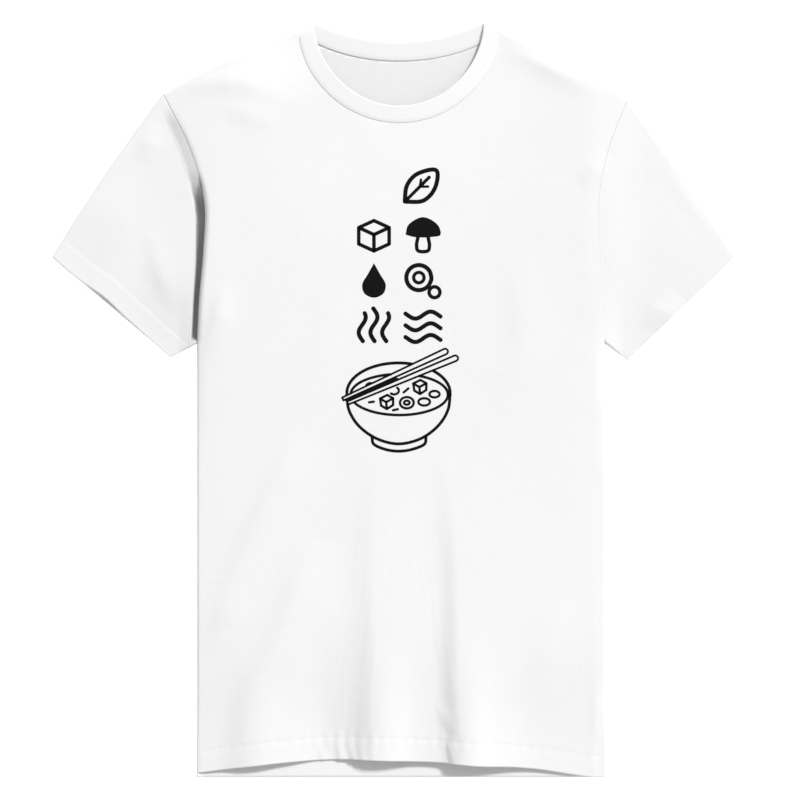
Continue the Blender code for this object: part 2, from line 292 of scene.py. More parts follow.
@dataclass(frozen=True)
class Thread:
    """White polyester sewing thread, a little glossier than the cloth."""

    light: tuple[float, float, float] = (0.845, 0.845, 0.847)
    deep: tuple[float, float, float] = (0.765, 0.765, 0.768)

    def material(self, name: str) -> bpy.types.Material:
        """Builds the finish."""
        shader = Shader(name)
        fibre = shader.noise(1500, 2)
        shader.link("Base Color", shader.mix(fibre, self.deep, self.light))
        shader.link("Roughness", 0.5 + fibre * 0.2)
        shader.bump(fibre, 0.06 * MM)
        shader.set(Sheen_Weight=0.1, Specular_IOR_Level=0.4)
        return shader.material


@dataclass(frozen=True)
class Ink:
    """Black screen-printing ink that sits in the knit."""

    black: tuple[float, float, float] = (0.0035, 0.0035, 0.004)
    worn: tuple[float, float, float] = (0.009, 0.009, 0.0095)
    knit: Jersey = Jersey()

    def material(self, name: str) -> bpy.types.Material:
        """Builds the finish, in which the stitches of the cloth still show."""
        shader = Shader(name)
        speck = shader.noise(1400, 3)
        loops = self.knit.knit(shader)
        mottle = speck * 0.6 + loops * 0.4
        shader.link("Base Color", shader.mix(mottle, self.black, self.worn))
        shader.link("Roughness", 0.70 + speck * 0.18)
        shader.bump(loops + speck * 0.4, 0.08 * MM, 0.7)
        shader.set(Specular_IOR_Level=0.07)
        return shader.material


# ---------------------------------------------------------------- lines and heights


def smooth_line(points: Sequence[Sequence[float]], shares: Array) -> Array:
    """Reads a Catmull-Rom curve through points at shares of its way.

    Args:
        points: what the curve goes through, in any number of dimensions.
        shares: from 0 at the first point to 1 at the last.

    Returns:
        One point for each share.
    """
    p = np.array(points, float)
    padded = np.vstack([2 * p[0] - p[1], p, 2 * p[-1] - p[-2]])
    place = np.asarray(shares) * (len(p) - 1)
    i = np.clip(place.astype(int), 0, len(p) - 2)
    t = (place - i)[:, None]
    a, b, c, d = (padded[i + k] for k in range(4))
    bend = (2 * a - 5 * b + 4 * c - d) * t**2 + (3 * b - a - 3 * c + d) * t**3
    return 0.5 * (2 * b + (c - a) * t + bend)


def bowed_line(start: Array, end: Array, bulge: float, shares: Array) -> Array:
    """Goes from start to end, bowed to the left of that way by the bulge."""
    t = np.asarray(shares)[:, None]
    along = (end - start) / np.linalg.norm(end - start)
    left = np.array([-along[1], along[0]])
    return start + (end - start) * t + left * bulge * 4 * t * (1 - t)


def soft_interp(x: Array, knots: Sequence[Point]) -> Array:
    """Reads a smooth curve y(x) through knots, held level beyond both ends."""
    xs, ys = np.array(knots, float).T
    slopes = np.gradient(ys, xs)
    x = np.clip(x, xs[0], xs[-1])
    i = np.clip(np.searchsorted(xs, x) - 1, 0, len(xs) - 2)
    h = xs[i + 1] - xs[i]
    t = (x - xs[i]) / h
    start = (2 * t**3 - 3 * t**2 + 1) * ys[i] + (t**3 - 2 * t**2 + t) * h * slopes[i]
    end = (3 * t**2 - 2 * t**3) * ys[i + 1] + (t**3 - t**2) * h * slopes[i + 1]
    return start + end


def smooth_step(x: Array, low: float, high: float) -> Array:
    """Goes softly from 0 at low to 1 at high; high may be the smaller one."""
    t = np.clip((x - low) / (high - low), 0, 1)
    return t * t * (3 - 2 * t)


def distance_to(points: Array, chain: Array) -> Array:
    """Measures each point's distance to a chain of straight stretches."""
    best = np.full(len(points), np.inf)
    for a, b in zip(chain[:-1], chain[1:]):
        way = b - a
        t = np.clip((points - a) @ way / (way @ way), 0, 1)
        best = np.minimum(best, np.linalg.norm(points - a - t[:, None] * way, axis=1))
    return best


def stretches(*parts: tuple[float, int]) -> Array:
    """Lists shares from 0 through stretches, each an end share and its step count."""
    shares, last = [0.0], 0.0
    for end, steps in parts:
        shares += [last + (end - last) * (i + 1) / steps for i in range(steps)]
        last = end
    return np.array(shares)


@dataclass(frozen=True)
class Side:
    """The corners of one half of the outline, with x counted outwards from the middle."""

    sign: int
    body_x: float
    underarm_y: float
    tip: Point  # of the shoulder
    neck: Point  # where the shoulder meets the neckband
    cuff_out: Point
    cuff_in: Point
    armhole: tuple[Point, ...]  # the points between the tip and the underarm
    shoulder_bulge: float
    sleeve_bulge: float
    cuff_pull: tuple[Point, ...]  # how far the cuff's front lies back from its rear
    cuff_height: tuple[Point, ...]  # the share of its height that the cuff keeps

    def at(self, point: Point) -> Array:
        """Puts a point of this half into the frame."""
        return np.array([self.sign * point[0], point[1]])

    def armhole_line(self, shares: Array) -> Array:
        """The armhole seam in plan, from the shoulder's tip to the underarm."""
        points = [self.tip, *self.armhole, (self.body_x, self.underarm_y)]
        return smooth_line([self.at(p) for p in points], shares)

    def shoulder_line(self, shares: Array) -> Array:
        """The shoulder seam in plan, from its tip to the neckband."""
        bulge = -self.sign * self.shoulder_bulge
        return bowed_line(self.at(self.tip), self.at(self.neck), bulge, shares)

    def sleeve_top_line(self, shares: Array) -> Array:
        """The sleeve's outer fold in plan, from the shoulder's tip to the cuff."""
        bulge = self.sign * self.sleeve_bulge
        return bowed_line(self.at(self.tip), self.at(self.cuff_out), bulge, shares)


@dataclass(frozen=True)
class Fold:
    """A soft ridge along a line, with its own width on either side of the crest."""

    line: tuple[Point, ...]  # points of the crest, from the top down
    heights: tuple[float, ...]  # at each of those points
    left: float  # how wide the slope towards -X is
    right: float

    def height(self, points: Array) -> Array:
        """What the fold adds to the cloth's height at points of the plan."""
        shares = np.linspace(0, 1, 33)
        line = smooth_line(self.line, shares)
        crest = np.interp(shares, np.linspace(0, 1, len(self.heights)), self.heights)
        reach = 3.2 * max(self.left, self.right)
        low, high = line.min(axis=0) - reach, line.max(axis=0) + reach
        near = np.all((points > low) & (points < high), axis=1)
        total = np.zeros(len(points))
        spots = points[near]
        if not len(spots):
            return total
        best, side, top = (np.full(len(spots), n) for n in (np.inf, 0.0, 0.0))
        for i in range(len(line) - 1):
            way = line[i + 1] - line[i]
            t = np.clip((spots - line[i]) @ way / (way @ way), 0, 1)
            off = spots - line[i] - t[:, None] * way
            far = np.linalg.norm(off, axis=1)
            nearer = far < best
            best[nearer] = far[nearer]
            side[nearer] = (off @ np.array([-way[1], way[0]]))[nearer]
            top[nearer] = (crest[i] + t * (crest[i + 1] - crest[i]))[nearer]
        width = np.where(side < 0, self.left, self.right)
        total[near] = top * np.exp(-0.5 * (best / width) ** 2)
        return total


@dataclass
class Lie:
    """How the shirt lies: its outline in plan and the heights of its two layers."""

    length: float
    left: Side
    right: Side
    neck_x: float = 5.2 * MM
    neck_half: float = 96 * MM
    neck_top: float = 355 * MM
    front_drop: float = 89 * MM
    back_drop: float = 29 * MM
    floor_height: float = 0.45 * MM  # the back's middle over the floor
    seam_height: float = 6.5 * MM
    seam_height_neck: float = 3.2 * MM
    # Where cloth is drawn into fine wrinkles: middle, lean and half width.
    drawn_places: tuple[tuple[float, float, float], ...] = (
        (-34 * MM, 0.10, 20 * MM), (50 * MM, -0.13, 14 * MM),
    )
    seam_height_hem: float = 3.6 * MM
    chest_height: float = 17 * MM
    belly_height: float = 13.5 * MM
    sleeve_height: float = 13 * MM
    roll: float = 2.0 * MM
    roll_share: float = 0.70
    slope: float = 40 * MM
    back_roll: float = 9 * MM
    gap_floor: float = 2.2 * MM  # the height of the seam in the left armhole's gap
    gap_roll: float = 4.5 * MM  # how wide the body's curl over that gap is
    gap_undercut: float = 50.0  # degrees by which the curl goes on under itself
    folds: tuple[Fold, ...] = ()
    hem_rise: tuple[Point, ...] = ()  # of the front hem in plan, by share across
    hem_height: tuple[Point, ...] = ()  # of the front hem over the floor, by x
    gap_width: tuple[Point, ...] = ()  # of the left armhole's gap, by y
    chains: list[Array] = field(default_factory=list)

    def __post_init__(self) -> None:
        """Works out the closed edges of the outline once."""
        shares = np.linspace(0, 1, 33)
        for side in (self.left, self.right):
            top = side.sleeve_top_line(shares[::-1])
            self.chains.append(np.vstack([top, side.shoulder_line(shares[1:])]))
            inner = [(side.body_x, -self.length), (side.body_x, side.underarm_y), side.cuff_in]
            self.chains.append(np.array([side.at(p) for p in inner]))

    def edge(self, points: Array) -> Array:
        """The distance from points of the plan to the outline's closed edges."""
        return np.min([distance_to(points, chain) for chain in self.chains], axis=0)

    def neck_line(self, front: bool, shares: Array, inset: float = 0.0) -> Array:
        """The neckline in plan, from left to right, moved inwards by the inset."""
        turn = (np.asarray(shares) - 0.5) * math.pi
        depth = np.maximum(np.cos(turn), 0)
        drop = (self.front_drop if front else self.back_drop) - inset
        sink = depth ** (1.08 if front else 1.5) * drop
        x = self.neck_x + (self.neck_half - inset) * np.sin(turn)
        return np.stack([x, self.neck_top - sink], axis=1)

    def in_neck(self, front: bool, points: Array, inset: float) -> Array:
        """Which points of the plan lie inside the neckline moved inwards by the inset."""
        turn = np.clip((points[:, 0] - self.neck_x) / (self.neck_half - inset), -1, 1)
        drop = (self.front_drop if front else self.back_drop) - inset
        depth = np.sqrt(1 - turn**2) ** (1.08 if front else 1.5)
        return (points[:, 1] > self.neck_top - depth * drop) & (np.abs(turn) < 1)

    def seam(self, points: Array) -> Array:
        """The height of the side and shoulder seams, which sinks towards hem and neck."""
        share = smooth_step(points[:, 1], -self.length / 2, -0.1)
        height = self.seam_height_hem + (self.seam_height - self.seam_height_hem) * share
        for side in (self.left, self.right):
            far = np.linalg.norm(points - side.at(side.neck), axis=1)
            near = 1 - smooth_step(far, 3 * MM, 85 * MM)
            height -= (height - self.seam_height_neck) * near
        return height

    def gap_share(self, y: Array) -> Array:
        """How open the left armhole's gap is, from 0 to 1."""
        top = self.left.tip[1]
        opening = 0.13 * smooth_step(y, top - 2 * MM, top - 50 * MM)
        opening += 0.87 * smooth_step(y, top - 74 * MM, top - 106 * MM)
        return opening * smooth_step(y, self.left.underarm_y - 2 * MM, self.left.underarm_y + 7 * MM)

    def right_groove(self, points: Array) -> Array:
        """How far the cloth sinks along the right armhole's seam."""
        side = self.right
        seam = side.armhole_line(np.linspace(0, 1, 33))
        far = distance_to(points, seam)
        ends = smooth_step(points[:, 1], side.tip[1], side.tip[1] - 60 * MM)
        ends = ends * smooth_step(points[:, 1], side.underarm_y - 6 * MM, side.underarm_y + 30 * MM)
        return 0.25 * MM * np.exp(-0.5 * (far / (6 * MM)) ** 2) * ends

    def beside_neck(self, points: Array, height: Array) -> Array:
        """Lets the front sink towards the shoulders' inner ends and the neck's right side."""
        left_low, right_low = 7 * MM, 4.6 * MM
        for side, low, reach in (
            (self.left, left_low, 75 * MM), (self.right, right_low, 100 * MM),
        ):
            far = np.linalg.norm(points - side.at(side.neck), axis=1)
            height = height - (height - low) * (1 - smooth_step(far, 2 * MM, reach)) * 0.95
        rim = self.neck_line(True, np.linspace(0.5, 1, 17), 0)
        corner = np.linalg.norm(points - self.right.at(self.right.neck), axis=1)
        low = right_low + 0.05 * np.minimum(corner, 0.16)
        near = 1 - smooth_step(distance_to(points, rim), 3 * MM, 150 * MM)
        return height - np.maximum(height - low, 0) * near * 0.9

    def plateau(self, points: Array) -> Array:
        """The front's height away from all edges, without its folds."""
        x, y = points[:, 0], points[:, 1]
        rise = smooth_step(y, -self.length / 2 + 60 * MM, 0.10)
        body = self.belly_height + (self.chest_height - self.belly_height) * rise
        hem = soft_interp(x, self.hem_height)
        body = hem + (body - hem) * smooth_step(y, -self.length / 2, -0.20)
        sleeve = smooth_step(-x - self.left.body_x, -20 * MM, 60 * MM)
        sleeve = np.maximum(sleeve, smooth_step(x - self.right.body_x, -22 * MM, 40 * MM))
        sleeve *= smooth_step(y, 0, 0.04)
        height = body + (self.sleeve_height - body) * sleeve
        height = self.beside_neck(points, height)
        for side in (self.left, self.right):
            height = self.cuff_level(points, side, height)
        return height

    def cuff_level(self, points: Array, side: Side, height: Array) -> Array:
        """Lets a sleeve's height sink towards its cuff, more in some places than others."""
        out, inner = side.at(side.cuff_out), side.at(side.cuff_in)
        way = (inner - out) / np.linalg.norm(inner - out)
        place = (points - out) @ way / np.linalg.norm(inner - out)
        depth = np.abs((points - out) @ np.array([-way[1], way[0]]))
        share = soft_interp(place, side.cuff_height)
        near = 1 - smooth_step(depth, 0, 75 * MM)
        near = near * smooth_step(side.sign * points[:, 0] - side.body_x, -10 * MM, 20 * MM)
        return height + (height * share - height) * near

    def streaks(self, points: Array) -> Array:
        """Fine drawn wrinkles that run down beside the two long folds to the hem."""
        x, y = points[:, 0], points[:, 1]
        total = np.zeros(len(points))
        for middle, lean, reach in self.drawn_places:
            across = x - middle - lean * (y + 0.30)
            mask = np.exp(-0.5 * (across / reach) ** 2)
            mask = mask * smooth_step(y, -0.04, -0.24) * smooth_step(y, -0.352, -0.322)
            bend = np.sin(y / (23 * MM)) * 0.8 + np.sin(y / (9 * MM) + 1) * 0.35
            wave = np.sin(across / (1.35 * MM) + bend) + 0.9 * np.sin(across / (3.1 * MM) - bend)
            swell = 0.6 + 0.4 * np.sin(across / (5.3 * MM) + y / (31 * MM) + 2)
            total += 0.085 * MM * mask * wave * swell
        return total

    def front(self, points: Array) -> Array:
        """The height of the front's middle surface over points of the plan."""
        edge = self.edge(points)
        roll = np.sqrt(1 - (1 - np.minimum(edge / self.roll, 1)) ** 2)
        rest = 1 - np.exp(-edge / self.slope)
        rise = self.roll_share * roll + (1 - self.roll_share) * rest
        low = self.seam(points) + 0.15 * MM
        height = low + (self.plateau(points) - low) * rise
        near = smooth_step(edge, 0, 12 * MM)
        height += near * (sum(fold.height(points) for fold in self.folds) + self.streaks(points))
        height -= np.minimum(self.right_groove(points), height - 4 * MM)
        return np.maximum(height, self.back(points) + 1.1 * MM)

    def back(self, points: Array) -> Array:
        """The height of the back's middle surface over points of the plan."""
        edge = self.edge(points)
        roll = np.sqrt(1 - (1 - np.minimum(edge / self.back_roll, 1)) ** 2)
        high = self.seam(points) - 0.15 * MM
        return high + (self.floor_height - high) * roll

    def left_gap(self, points: Array) -> tuple[Array, Array]:
        """Where points lie by the left armhole.

        Args:
            points: in plan.

        Returns:
            Their distance to the armhole seam, and the gap's width there.
        """
        seam = self.left.armhole_line(np.linspace(0, 1, 65))
        return distance_to(points, seam), soft_interp(points[:, 1], self.gap_width)


def coons(
    bottom: Array, top: Array, left: Array, right: Array, u: Array, v: Array
) -> Array:
    """Fills a plan grid between four border lines.

    Args:
        bottom: points along v = 0, one for each of u.
        top: points along v = 1.
        left: points along u = 0, one for each of v.
        right: points along u = 1.
        u: the columns' shares.
        v: the rows' shares.

    Returns:
        The grid's points, rows by columns by 2.
    """
    a, b = u[None, :, None], v[:, None, None]
    low = (1 - a) * bottom[0] + a * bottom[-1]
    high = (1 - a) * top[0] + a * top[-1]
    across = (1 - b) * bottom[None] + b * top[None]
    return across + (1 - a) * left[:, None] + a * right[:, None] - (1 - b) * low - b * high


# ---------------------------------------------------------------- cloth pieces


@dataclass
class ClothGrid:
    """A grid of points on one piece of cloth, before it gets its thickness."""

    points: Array  # rows by columns by 3
    cloth: Array  # rows by columns by 2: the place on the flat cloth, in metres
    shade: Array  # rows by columns: how much painted shade darkens the cloth there
    wrapped: bool = False  # whether the last row meets the first one
    inside: Callable[[Array], Array] | None = None  # which plan points are cut away
    rim: Array | None = None  # the line in plan that the cut follows

    def build(self, name: str, thickness: float = CLOTH) -> bpy.types.Object:
        """Makes the grid a piece of cloth.

        Args:
            name: the piece's name.
            thickness: of the cloth.

        Returns:
            The new object, at the origin.
        """
        points, cloth, shade = self.points, self.cloth, self.shade
        if self.wrapped:
            points = np.concatenate([points, points[:1]])
            cloth = np.concatenate([cloth, cloth[-1:] * 2 - cloth[-2:-1]])
            shade = np.concatenate([shade, shade[:1]])
        rows, columns = points.shape[:2]
        bm = bmesh.new()
        bmesh.ops.create_grid(bm, x_segments=columns - 1, y_segments=rows - 1, size=0.5)
        uv = bm.loops.layers.uv.new("cloth")
        painted_shade = bm.verts.layers.float.new("shade")
        places = {}
        for vert in bm.verts:
            i = round((vert.co.y + 0.5) * (rows - 1))
            j = round((vert.co.x + 0.5) * (columns - 1))
            places[vert] = (i, j)
        for face in bm.faces:
            for loop in face.loops:
                loop[uv].uv = cloth[places[loop.vert]]
        for vert, place in places.items():
            vert.co = points[place]
            vert[painted_shade] = shade[place]
        if self.wrapped:
            seam = [v for v, (i, _) in places.items() if i in (0, rows - 1)]
            bmesh.ops.remove_doubles(bm, verts=seam, dist=1e-7)
        if self.inside is not None:
            self.cut(bm)
        for face in bm.faces:
            face.smooth = True
        mesh = bpy.data.meshes.new(name)
        bm.to_mesh(mesh)
        bm.free()
        piece = bpy.data.objects.new(name, mesh)
        bpy.context.scene.collection.objects.link(piece)
        wall = piece.modifiers.new("thickness", "SOLIDIFY")
        wall.thickness = thickness
        wall.offset = 0
        return piece

    def cut(self, bm: bmesh.types.BMesh) -> None:
        """Cuts the opening out of the cloth and draws its border onto the rim."""
        border = {v for e in bm.edges if e.is_boundary for v in e.verts}
        faces = list(bm.faces)
        middles = np.array([face.calc_center_median()[:2] for face in faces])
        gone = [face for face, out in zip(faces, self.inside(middles)) if out]
        bmesh.ops.delete(bm, geom=gone, context="FACES")
        for vert in {v for e in bm.edges if e.is_boundary for v in e.verts} - border:
            nearest = np.argmin(np.linalg.norm(self.rim - np.array(vert.co[:2]), axis=1))
            vert.co.x, vert.co.y = self.rim[nearest]


def turned_rows(shares: Array, depth_share: float, steps: int = 8) -> Array:
    """Adds the rows of a hem that is turned in: negative shares lie inside the fold."""
    inner = -depth_share * np.linspace(1, 0, steps + 1)[:-1] ** 1.6
    return np.concatenate([inner, shares])


@dataclass
class Body:
    """The front and back panels, sewn together at their sides and shoulders."""

    lie: Lie
    side_share: float = 0.62  # of a panel's rows that lie below the underarm
    shoulder_share: float = 0.28  # of its columns that lie in each shoulder
    fold_gap: float = 0.55 * MM  # from the turned hem's outer layer to its inner one
    front_flat: Point = (0.48, 0.74)
    back_flat: Point = (0.48, 0.76)

    def side_line(self, side: Side, hem_y: float, shares: Array) -> Array:
        """A panel's side in plan: up the side seam, then along the armhole to the tip."""
        climb = np.minimum(shares / self.side_share, 1)[:, None]
        low, high = side.at((side.body_x, hem_y)), side.at((side.body_x, side.underarm_y))
        arm = np.clip((1 - shares) / (1 - self.side_share), 0, 1)
        below = shares[:, None] <= self.side_share
        return np.where(below, low + (high - low) * climb, side.armhole_line(arm))

    def top_line(self, shares: Array) -> Array:
        """A panel's top in plan: a shoulder, straight over the neck, and a shoulder."""
        share = self.shoulder_share
        left = self.lie.left.shoulder_line(np.clip(shares / share, 0, 1))
        right = self.lie.right.shoulder_line(np.clip((1 - shares) / share, 0, 1))
        middle = np.clip((shares - share) / (1 - 2 * share), 0, 1)[:, None]
        neck = self.lie.left.at(self.lie.left.neck) * (1 - middle)
        neck = neck + self.lie.right.at(self.lie.right.neck) * middle
        sides = np.where((shares <= share)[:, None], left, right)
        inside = (shares > share) & (shares < 1 - share)
        return np.where(inside[:, None], neck, sides)

    def plan(self, front: bool, u: Array, v: Array) -> Array:
        """A panel's grid in plan: columns from left to right, rows from hem to top."""
        lie = self.lie
        rise = soft_interp(u, lie.hem_rise) if front else 0 * u
        x = -lie.left.body_x + (lie.left.body_x + lie.right.body_x) * u
        bottom = np.stack([x, rise - lie.length / 2], axis=1)
        left = self.side_line(lie.left, bottom[0, 1], v)
        right = self.side_line(lie.right, bottom[-1, 1], v)
        return coons(bottom, self.top_line(u), left, right, u, v)

    def hem_profile(self, depth: Array, x: Array) -> Array:
        """What the turned and stitched hem adds to the outside's height.

        Args:
            depth: the distance from the hem's edge.
            x: the place along the hem.

        Returns:
            The added height.
        """
        double = 0.26 * MM * smooth_step(depth, HEM_DEPTH + 2 * MM, HEM_DEPTH - 2 * MM)
        groove = 0.20 * MM * np.exp(-0.5 * ((depth - HEM_DEPTH) / (1.3 * MM)) ** 2)
        drawn = np.exp(-0.5 * ((x + 42 * MM) / (30 * MM)) ** 2)
        drawn += np.exp(-0.5 * ((x - 56 * MM) / (16 * MM)) ** 2)
        pucker = np.sin(x / (1.75 * MM)) * (0.25 + drawn) * 0.26 * MM
        near = np.exp(-0.5 * ((depth - HEM_DEPTH) / (5 * MM)) ** 2)
        return double - groove + pucker * near

    def folded_edge(self, depth: Array, inside: Array) -> Array:
        """How far a layer of the turned hem lies below the outside's height."""
        turn = 1 - np.sqrt(1 - (1 - np.minimum(depth / self.fold_gap, 1)) ** 2)
        return np.where(inside, 2 * self.fold_gap - self.fold_gap * turn, self.fold_gap * turn)

    def front_grid(self) -> ClothGrid:
        """The front: domed, folded towards the hem and curled over the left armhole."""
        lie = self.lie
        u = stretches((0.05, 16), (0.28, 48), (0.72, 92), (0.95, 48), (0.985, 10), (1, 8))
        v = stretches((0.002, 4), (0.045, 20), (0.56, 66), (self.side_share, 12), (0.93, 60),
                      (0.985, 12), (1, 8))
        v = turned_rows(v, HEM_DEPTH / lie.length)
        plan = self.plan(True, u, np.abs(v))
        flat = plan.reshape(-1, 2)
        depth = np.repeat(np.abs(v) * lie.length, len(u))
        inside = np.repeat(v < 0, len(u))
        z = lie.front(flat)
        z += self.hem_profile(depth, flat[:, 0]) * smooth_step(lie.edge(flat), 0, 6 * MM)
        z -= self.folded_edge(depth, inside)
        z -= 0.8 * MM * lie.in_neck(True, flat, 2.5 * MM)
        far, _ = lie.left_gap(flat)
        share = lie.gap_share(flat[:, 1]) * (flat[:, 0] < 0)
        t = np.minimum(far / lie.gap_roll, 1)
        under = math.radians(lie.gap_undercut)
        turn = -under + (math.pi / 2 + under) * t
        climb = (np.sin(turn) + math.sin(under)) / (1 + math.sin(under))
        sunk = lie.gap_floor + (z - lie.gap_floor) * climb
        z = np.where(t < 1, z + (sunk - z) * share, z)
        shift = lie.gap_roll * (1 - np.cos(turn) - t) * (t < 1) * share
        x = flat[:, 0] + shift
        # Painted shade deep under the front's curl over the left armhole's gap.
        painted_shade = share * smooth_step(t, 0.62, 0.1) * 0.7
        points = np.stack([x, flat[:, 1], z], axis=1)
        shape = plan.shape[:2]
        cloth = flat.reshape(*shape, 2)
        inset = 4 * MM
        return ClothGrid(
            points.reshape(*shape, 3), cloth, painted_shade.reshape(shape),
            inside=lambda spots: lie.in_neck(True, spots, inset),
            rim=lie.neck_line(True, np.linspace(0, 1, 800), inset),
        )

    def back_grid(self) -> ClothGrid:
        """The back: flat on the floor, turned up at its sides and shoulders."""
        lie = self.lie
        u = stretches((0.03, 10), (0.28, 30), (0.72, 70), (0.97, 30), (1, 10))
        v = stretches((0.002, 4), (0.045, 16), (self.side_share, 60), (0.93, 40), (1, 16))
        v = turned_rows(v, HEM_DEPTH / lie.length)
        plan = self.plan(False, u, np.abs(v))
        flat = plan.reshape(-1, 2)
        depth = np.repeat(np.abs(v) * lie.length, len(u))
        inside = np.repeat(v < 0, len(u))
        z = lie.back(flat) + self.folded_edge(depth, inside)
        wave = np.sin(flat[:, 0] / (31 * MM) + np.sin(flat[:, 1] / (60 * MM)))
        z += 0.12 * MM * (1 + wave) * smooth_step(lie.edge(flat), 0, 30 * MM)
        points = np.stack([flat[:, 0], flat[:, 1], z], axis=1)
        shape = plan.shape[:2]
        cloth = flat.reshape(*shape, 2)
        inset = 1 * MM
        # Painted shade: the back is darkened towards its top, where it shows inside the neck opening.
        painted_shade = 0.07 * smooth_step(flat[:, 1], 0.10, 0.25).reshape(shape)
        return ClothGrid(
            points.reshape(*shape, 3), cloth, painted_shade,
            inside=lambda spots: lie.in_neck(False, spots, inset),
            rim=lie.neck_line(False, np.linspace(0, 1, 800), inset),
        )

    def build(self, jersey: Jersey) -> list[bpy.types.Object]:
        """Builds and dresses both panels."""
        pieces = []
        for name, grid, flat, area in (
            ("front", self.front_grid(), self.front_flat, 0.295),
            ("back", self.back_grid(), self.back_flat, 0.305),
        ):
            piece = grid.build(f"{name}_panel")
            dress(piece, jersey.material(f"{name}_jersey"), f"body_{name}")
            pieces.append(piece)
        return pieces


@dataclass
class Sleeve:
    """One short sleeve: a flattened tube with a turned and stitched cuff."""

    lie: Lie
    side: Side
    name: str
    area: float = 0.0
    flat: Point = (0.40, 0.22)
    fold_gap: float = 0.55 * MM

    def plan(self, front: bool, across: Array, along: Array) -> Array:
        """A layer's grid in plan: rows across it, columns from armhole to cuff."""
        side = self.side
        along = np.append(along, 1.0)
        armhole = side.armhole_line(across)
        out, inner = side.at(side.cuff_out), side.at(side.cuff_in)
        cuff = out + (inner - out) * across[:, None]
        way = (inner - out) / np.linalg.norm(inner - out)
        back = np.array([way[1], -way[0]]) * side.sign
        pull = soft_interp(across, side.cuff_pull) if front else 0 * across
        upper = side.sleeve_top_line(along)
        lower = armhole[-1] + (inner - armhole[-1]) * along[:, None]
        cuff = cuff + pull[:, None] * back
        return coons(upper, lower, armhole, cuff, along, across)[:, :-1]

    def trench(self, flat: Array, z: Array) -> tuple[Array, Array]:
        """Sinks the cloth of the left sleeve into the gap beside the body.

        Args:
            flat: the points in plan.
            z: their heights without the gap.

        Returns:
            The new heights and the painted shade on the gap's floor and on the sleeve's wall beside it.
        """
        lie = self.lie
        far, width = lie.left_gap(flat)
        share = lie.gap_share(flat[:, 1])
        t = (far - width) / (1.3 * MM)
        climb = np.sqrt(1 - (1 - np.clip(t, 0, 1)) ** 2)
        sunk = lie.gap_floor + (z - lie.gap_floor) * climb
        # Painted shade: the gap's floor is darkened, and the sleeve's wall beside it is darkened less so
        # that it shows no highlight from the key light.
        floor = smooth_step(t, 0.6, 0.1) * share * 0.82
        wall = smooth_step(t, 1.9, 0.9) * smooth_step(share, 0.0, 0.08)
        wall *= 0.34 - 0.16 * smooth_step(share, 0.2, 0.6)
        painted_shade = np.maximum(floor, wall)
        return z + (sunk - z) * share, painted_shade

    def layer(self, front: bool, across: Array, along: Array) -> tuple[Array, Array, Array]:
        """The points, cloth places and painted shade of one layer."""
        lie, side = self.lie, self.side
        plan = self.plan(front, across, np.abs(along))
        flat = plan.reshape(-1, 2)
        shape = plan.shape[:2]
        z = lie.front(flat) if front else lie.back(flat)
        painted_shade = np.zeros(len(flat))
        if front and side.sign < 0:
            z, painted_shade = self.trench(flat, z)
        # The cuff is turned in by its depth on every thread that runs to it.
        start, end = self.plan(front, across, np.array([0.0, 1.0])).transpose(1, 0, 2)
        run = np.linalg.norm(end - start, axis=1)[:, None]
        depth = ((1 - np.abs(along))[None] * run).reshape(-1)
        inside = np.broadcast_to(along < 0, shape).reshape(-1)
        double = smooth_step(depth, HEM_DEPTH + 2 * MM, HEM_DEPTH - 2 * MM) * 0.22 * MM
        groove = 0.16 * MM * np.exp(-0.5 * ((depth - HEM_DEPTH) / (1.3 * MM)) ** 2)
        turn = 1 - np.sqrt(1 - (1 - np.minimum(depth / self.fold_gap, 1)) ** 2)
        inner = 2 * self.fold_gap - self.fold_gap * turn
        sink = np.where(inside, inner, self.fold_gap * turn)
        near = smooth_step(lie.edge(flat), 0, 5 * MM)
        z = z + ((double - groove) * near - sink * near) * (1 if front else -1)
        points = np.concatenate([flat, z[:, None]], axis=1).reshape(*shape, 3)
        axis = side.at(side.cuff_out) - side.at(side.tip)
        axis = axis / np.linalg.norm(axis)
        cloth = np.stack([flat @ np.array([-axis[1], axis[0]]), flat @ axis], axis=1)
        return points, cloth.reshape(*shape, 2), painted_shade.reshape(shape)

    def grid(self) -> ClothGrid:
        """The whole tube: across its front, then back across its rear."""
        across = stretches((0.03, 10), (0.12, 10), (0.9, 56), (0.97, 8), (1, 10))
        under = stretches((0.04, 10), (0.96, 30), (1, 10))[1:-1]
        along = stretches((0.12, 16), (0.4, 22), (0.86, 34), (0.985, 14), (1, 5))
        inner = -1 + 0.11 * np.linspace(0, 1, 9)[1:] ** 1.5
        along = np.concatenate([along, inner])
        front = self.layer(True, across, along)
        back = self.layer(False, under, along)
        rows = [np.concatenate([f, b[::-1]]) for f, b in zip(front, back)]
        rows[1][len(across):, :, 0] = 2 * rows[1][len(across) - 1, :, 0] - rows[1][len(across):, :, 0]
        if self.side.sign > 0:
            rows = [part[::-1] for part in rows]
        return ClothGrid(*rows, wrapped=True)

    def build(self, jersey: Jersey) -> bpy.types.Object:
        """Builds and dresses the sleeve."""
        piece = self.grid().build(f"{self.name}_cloth")
        dress(piece, jersey.material(f"{self.name}_jersey"), self.name)
        return piece


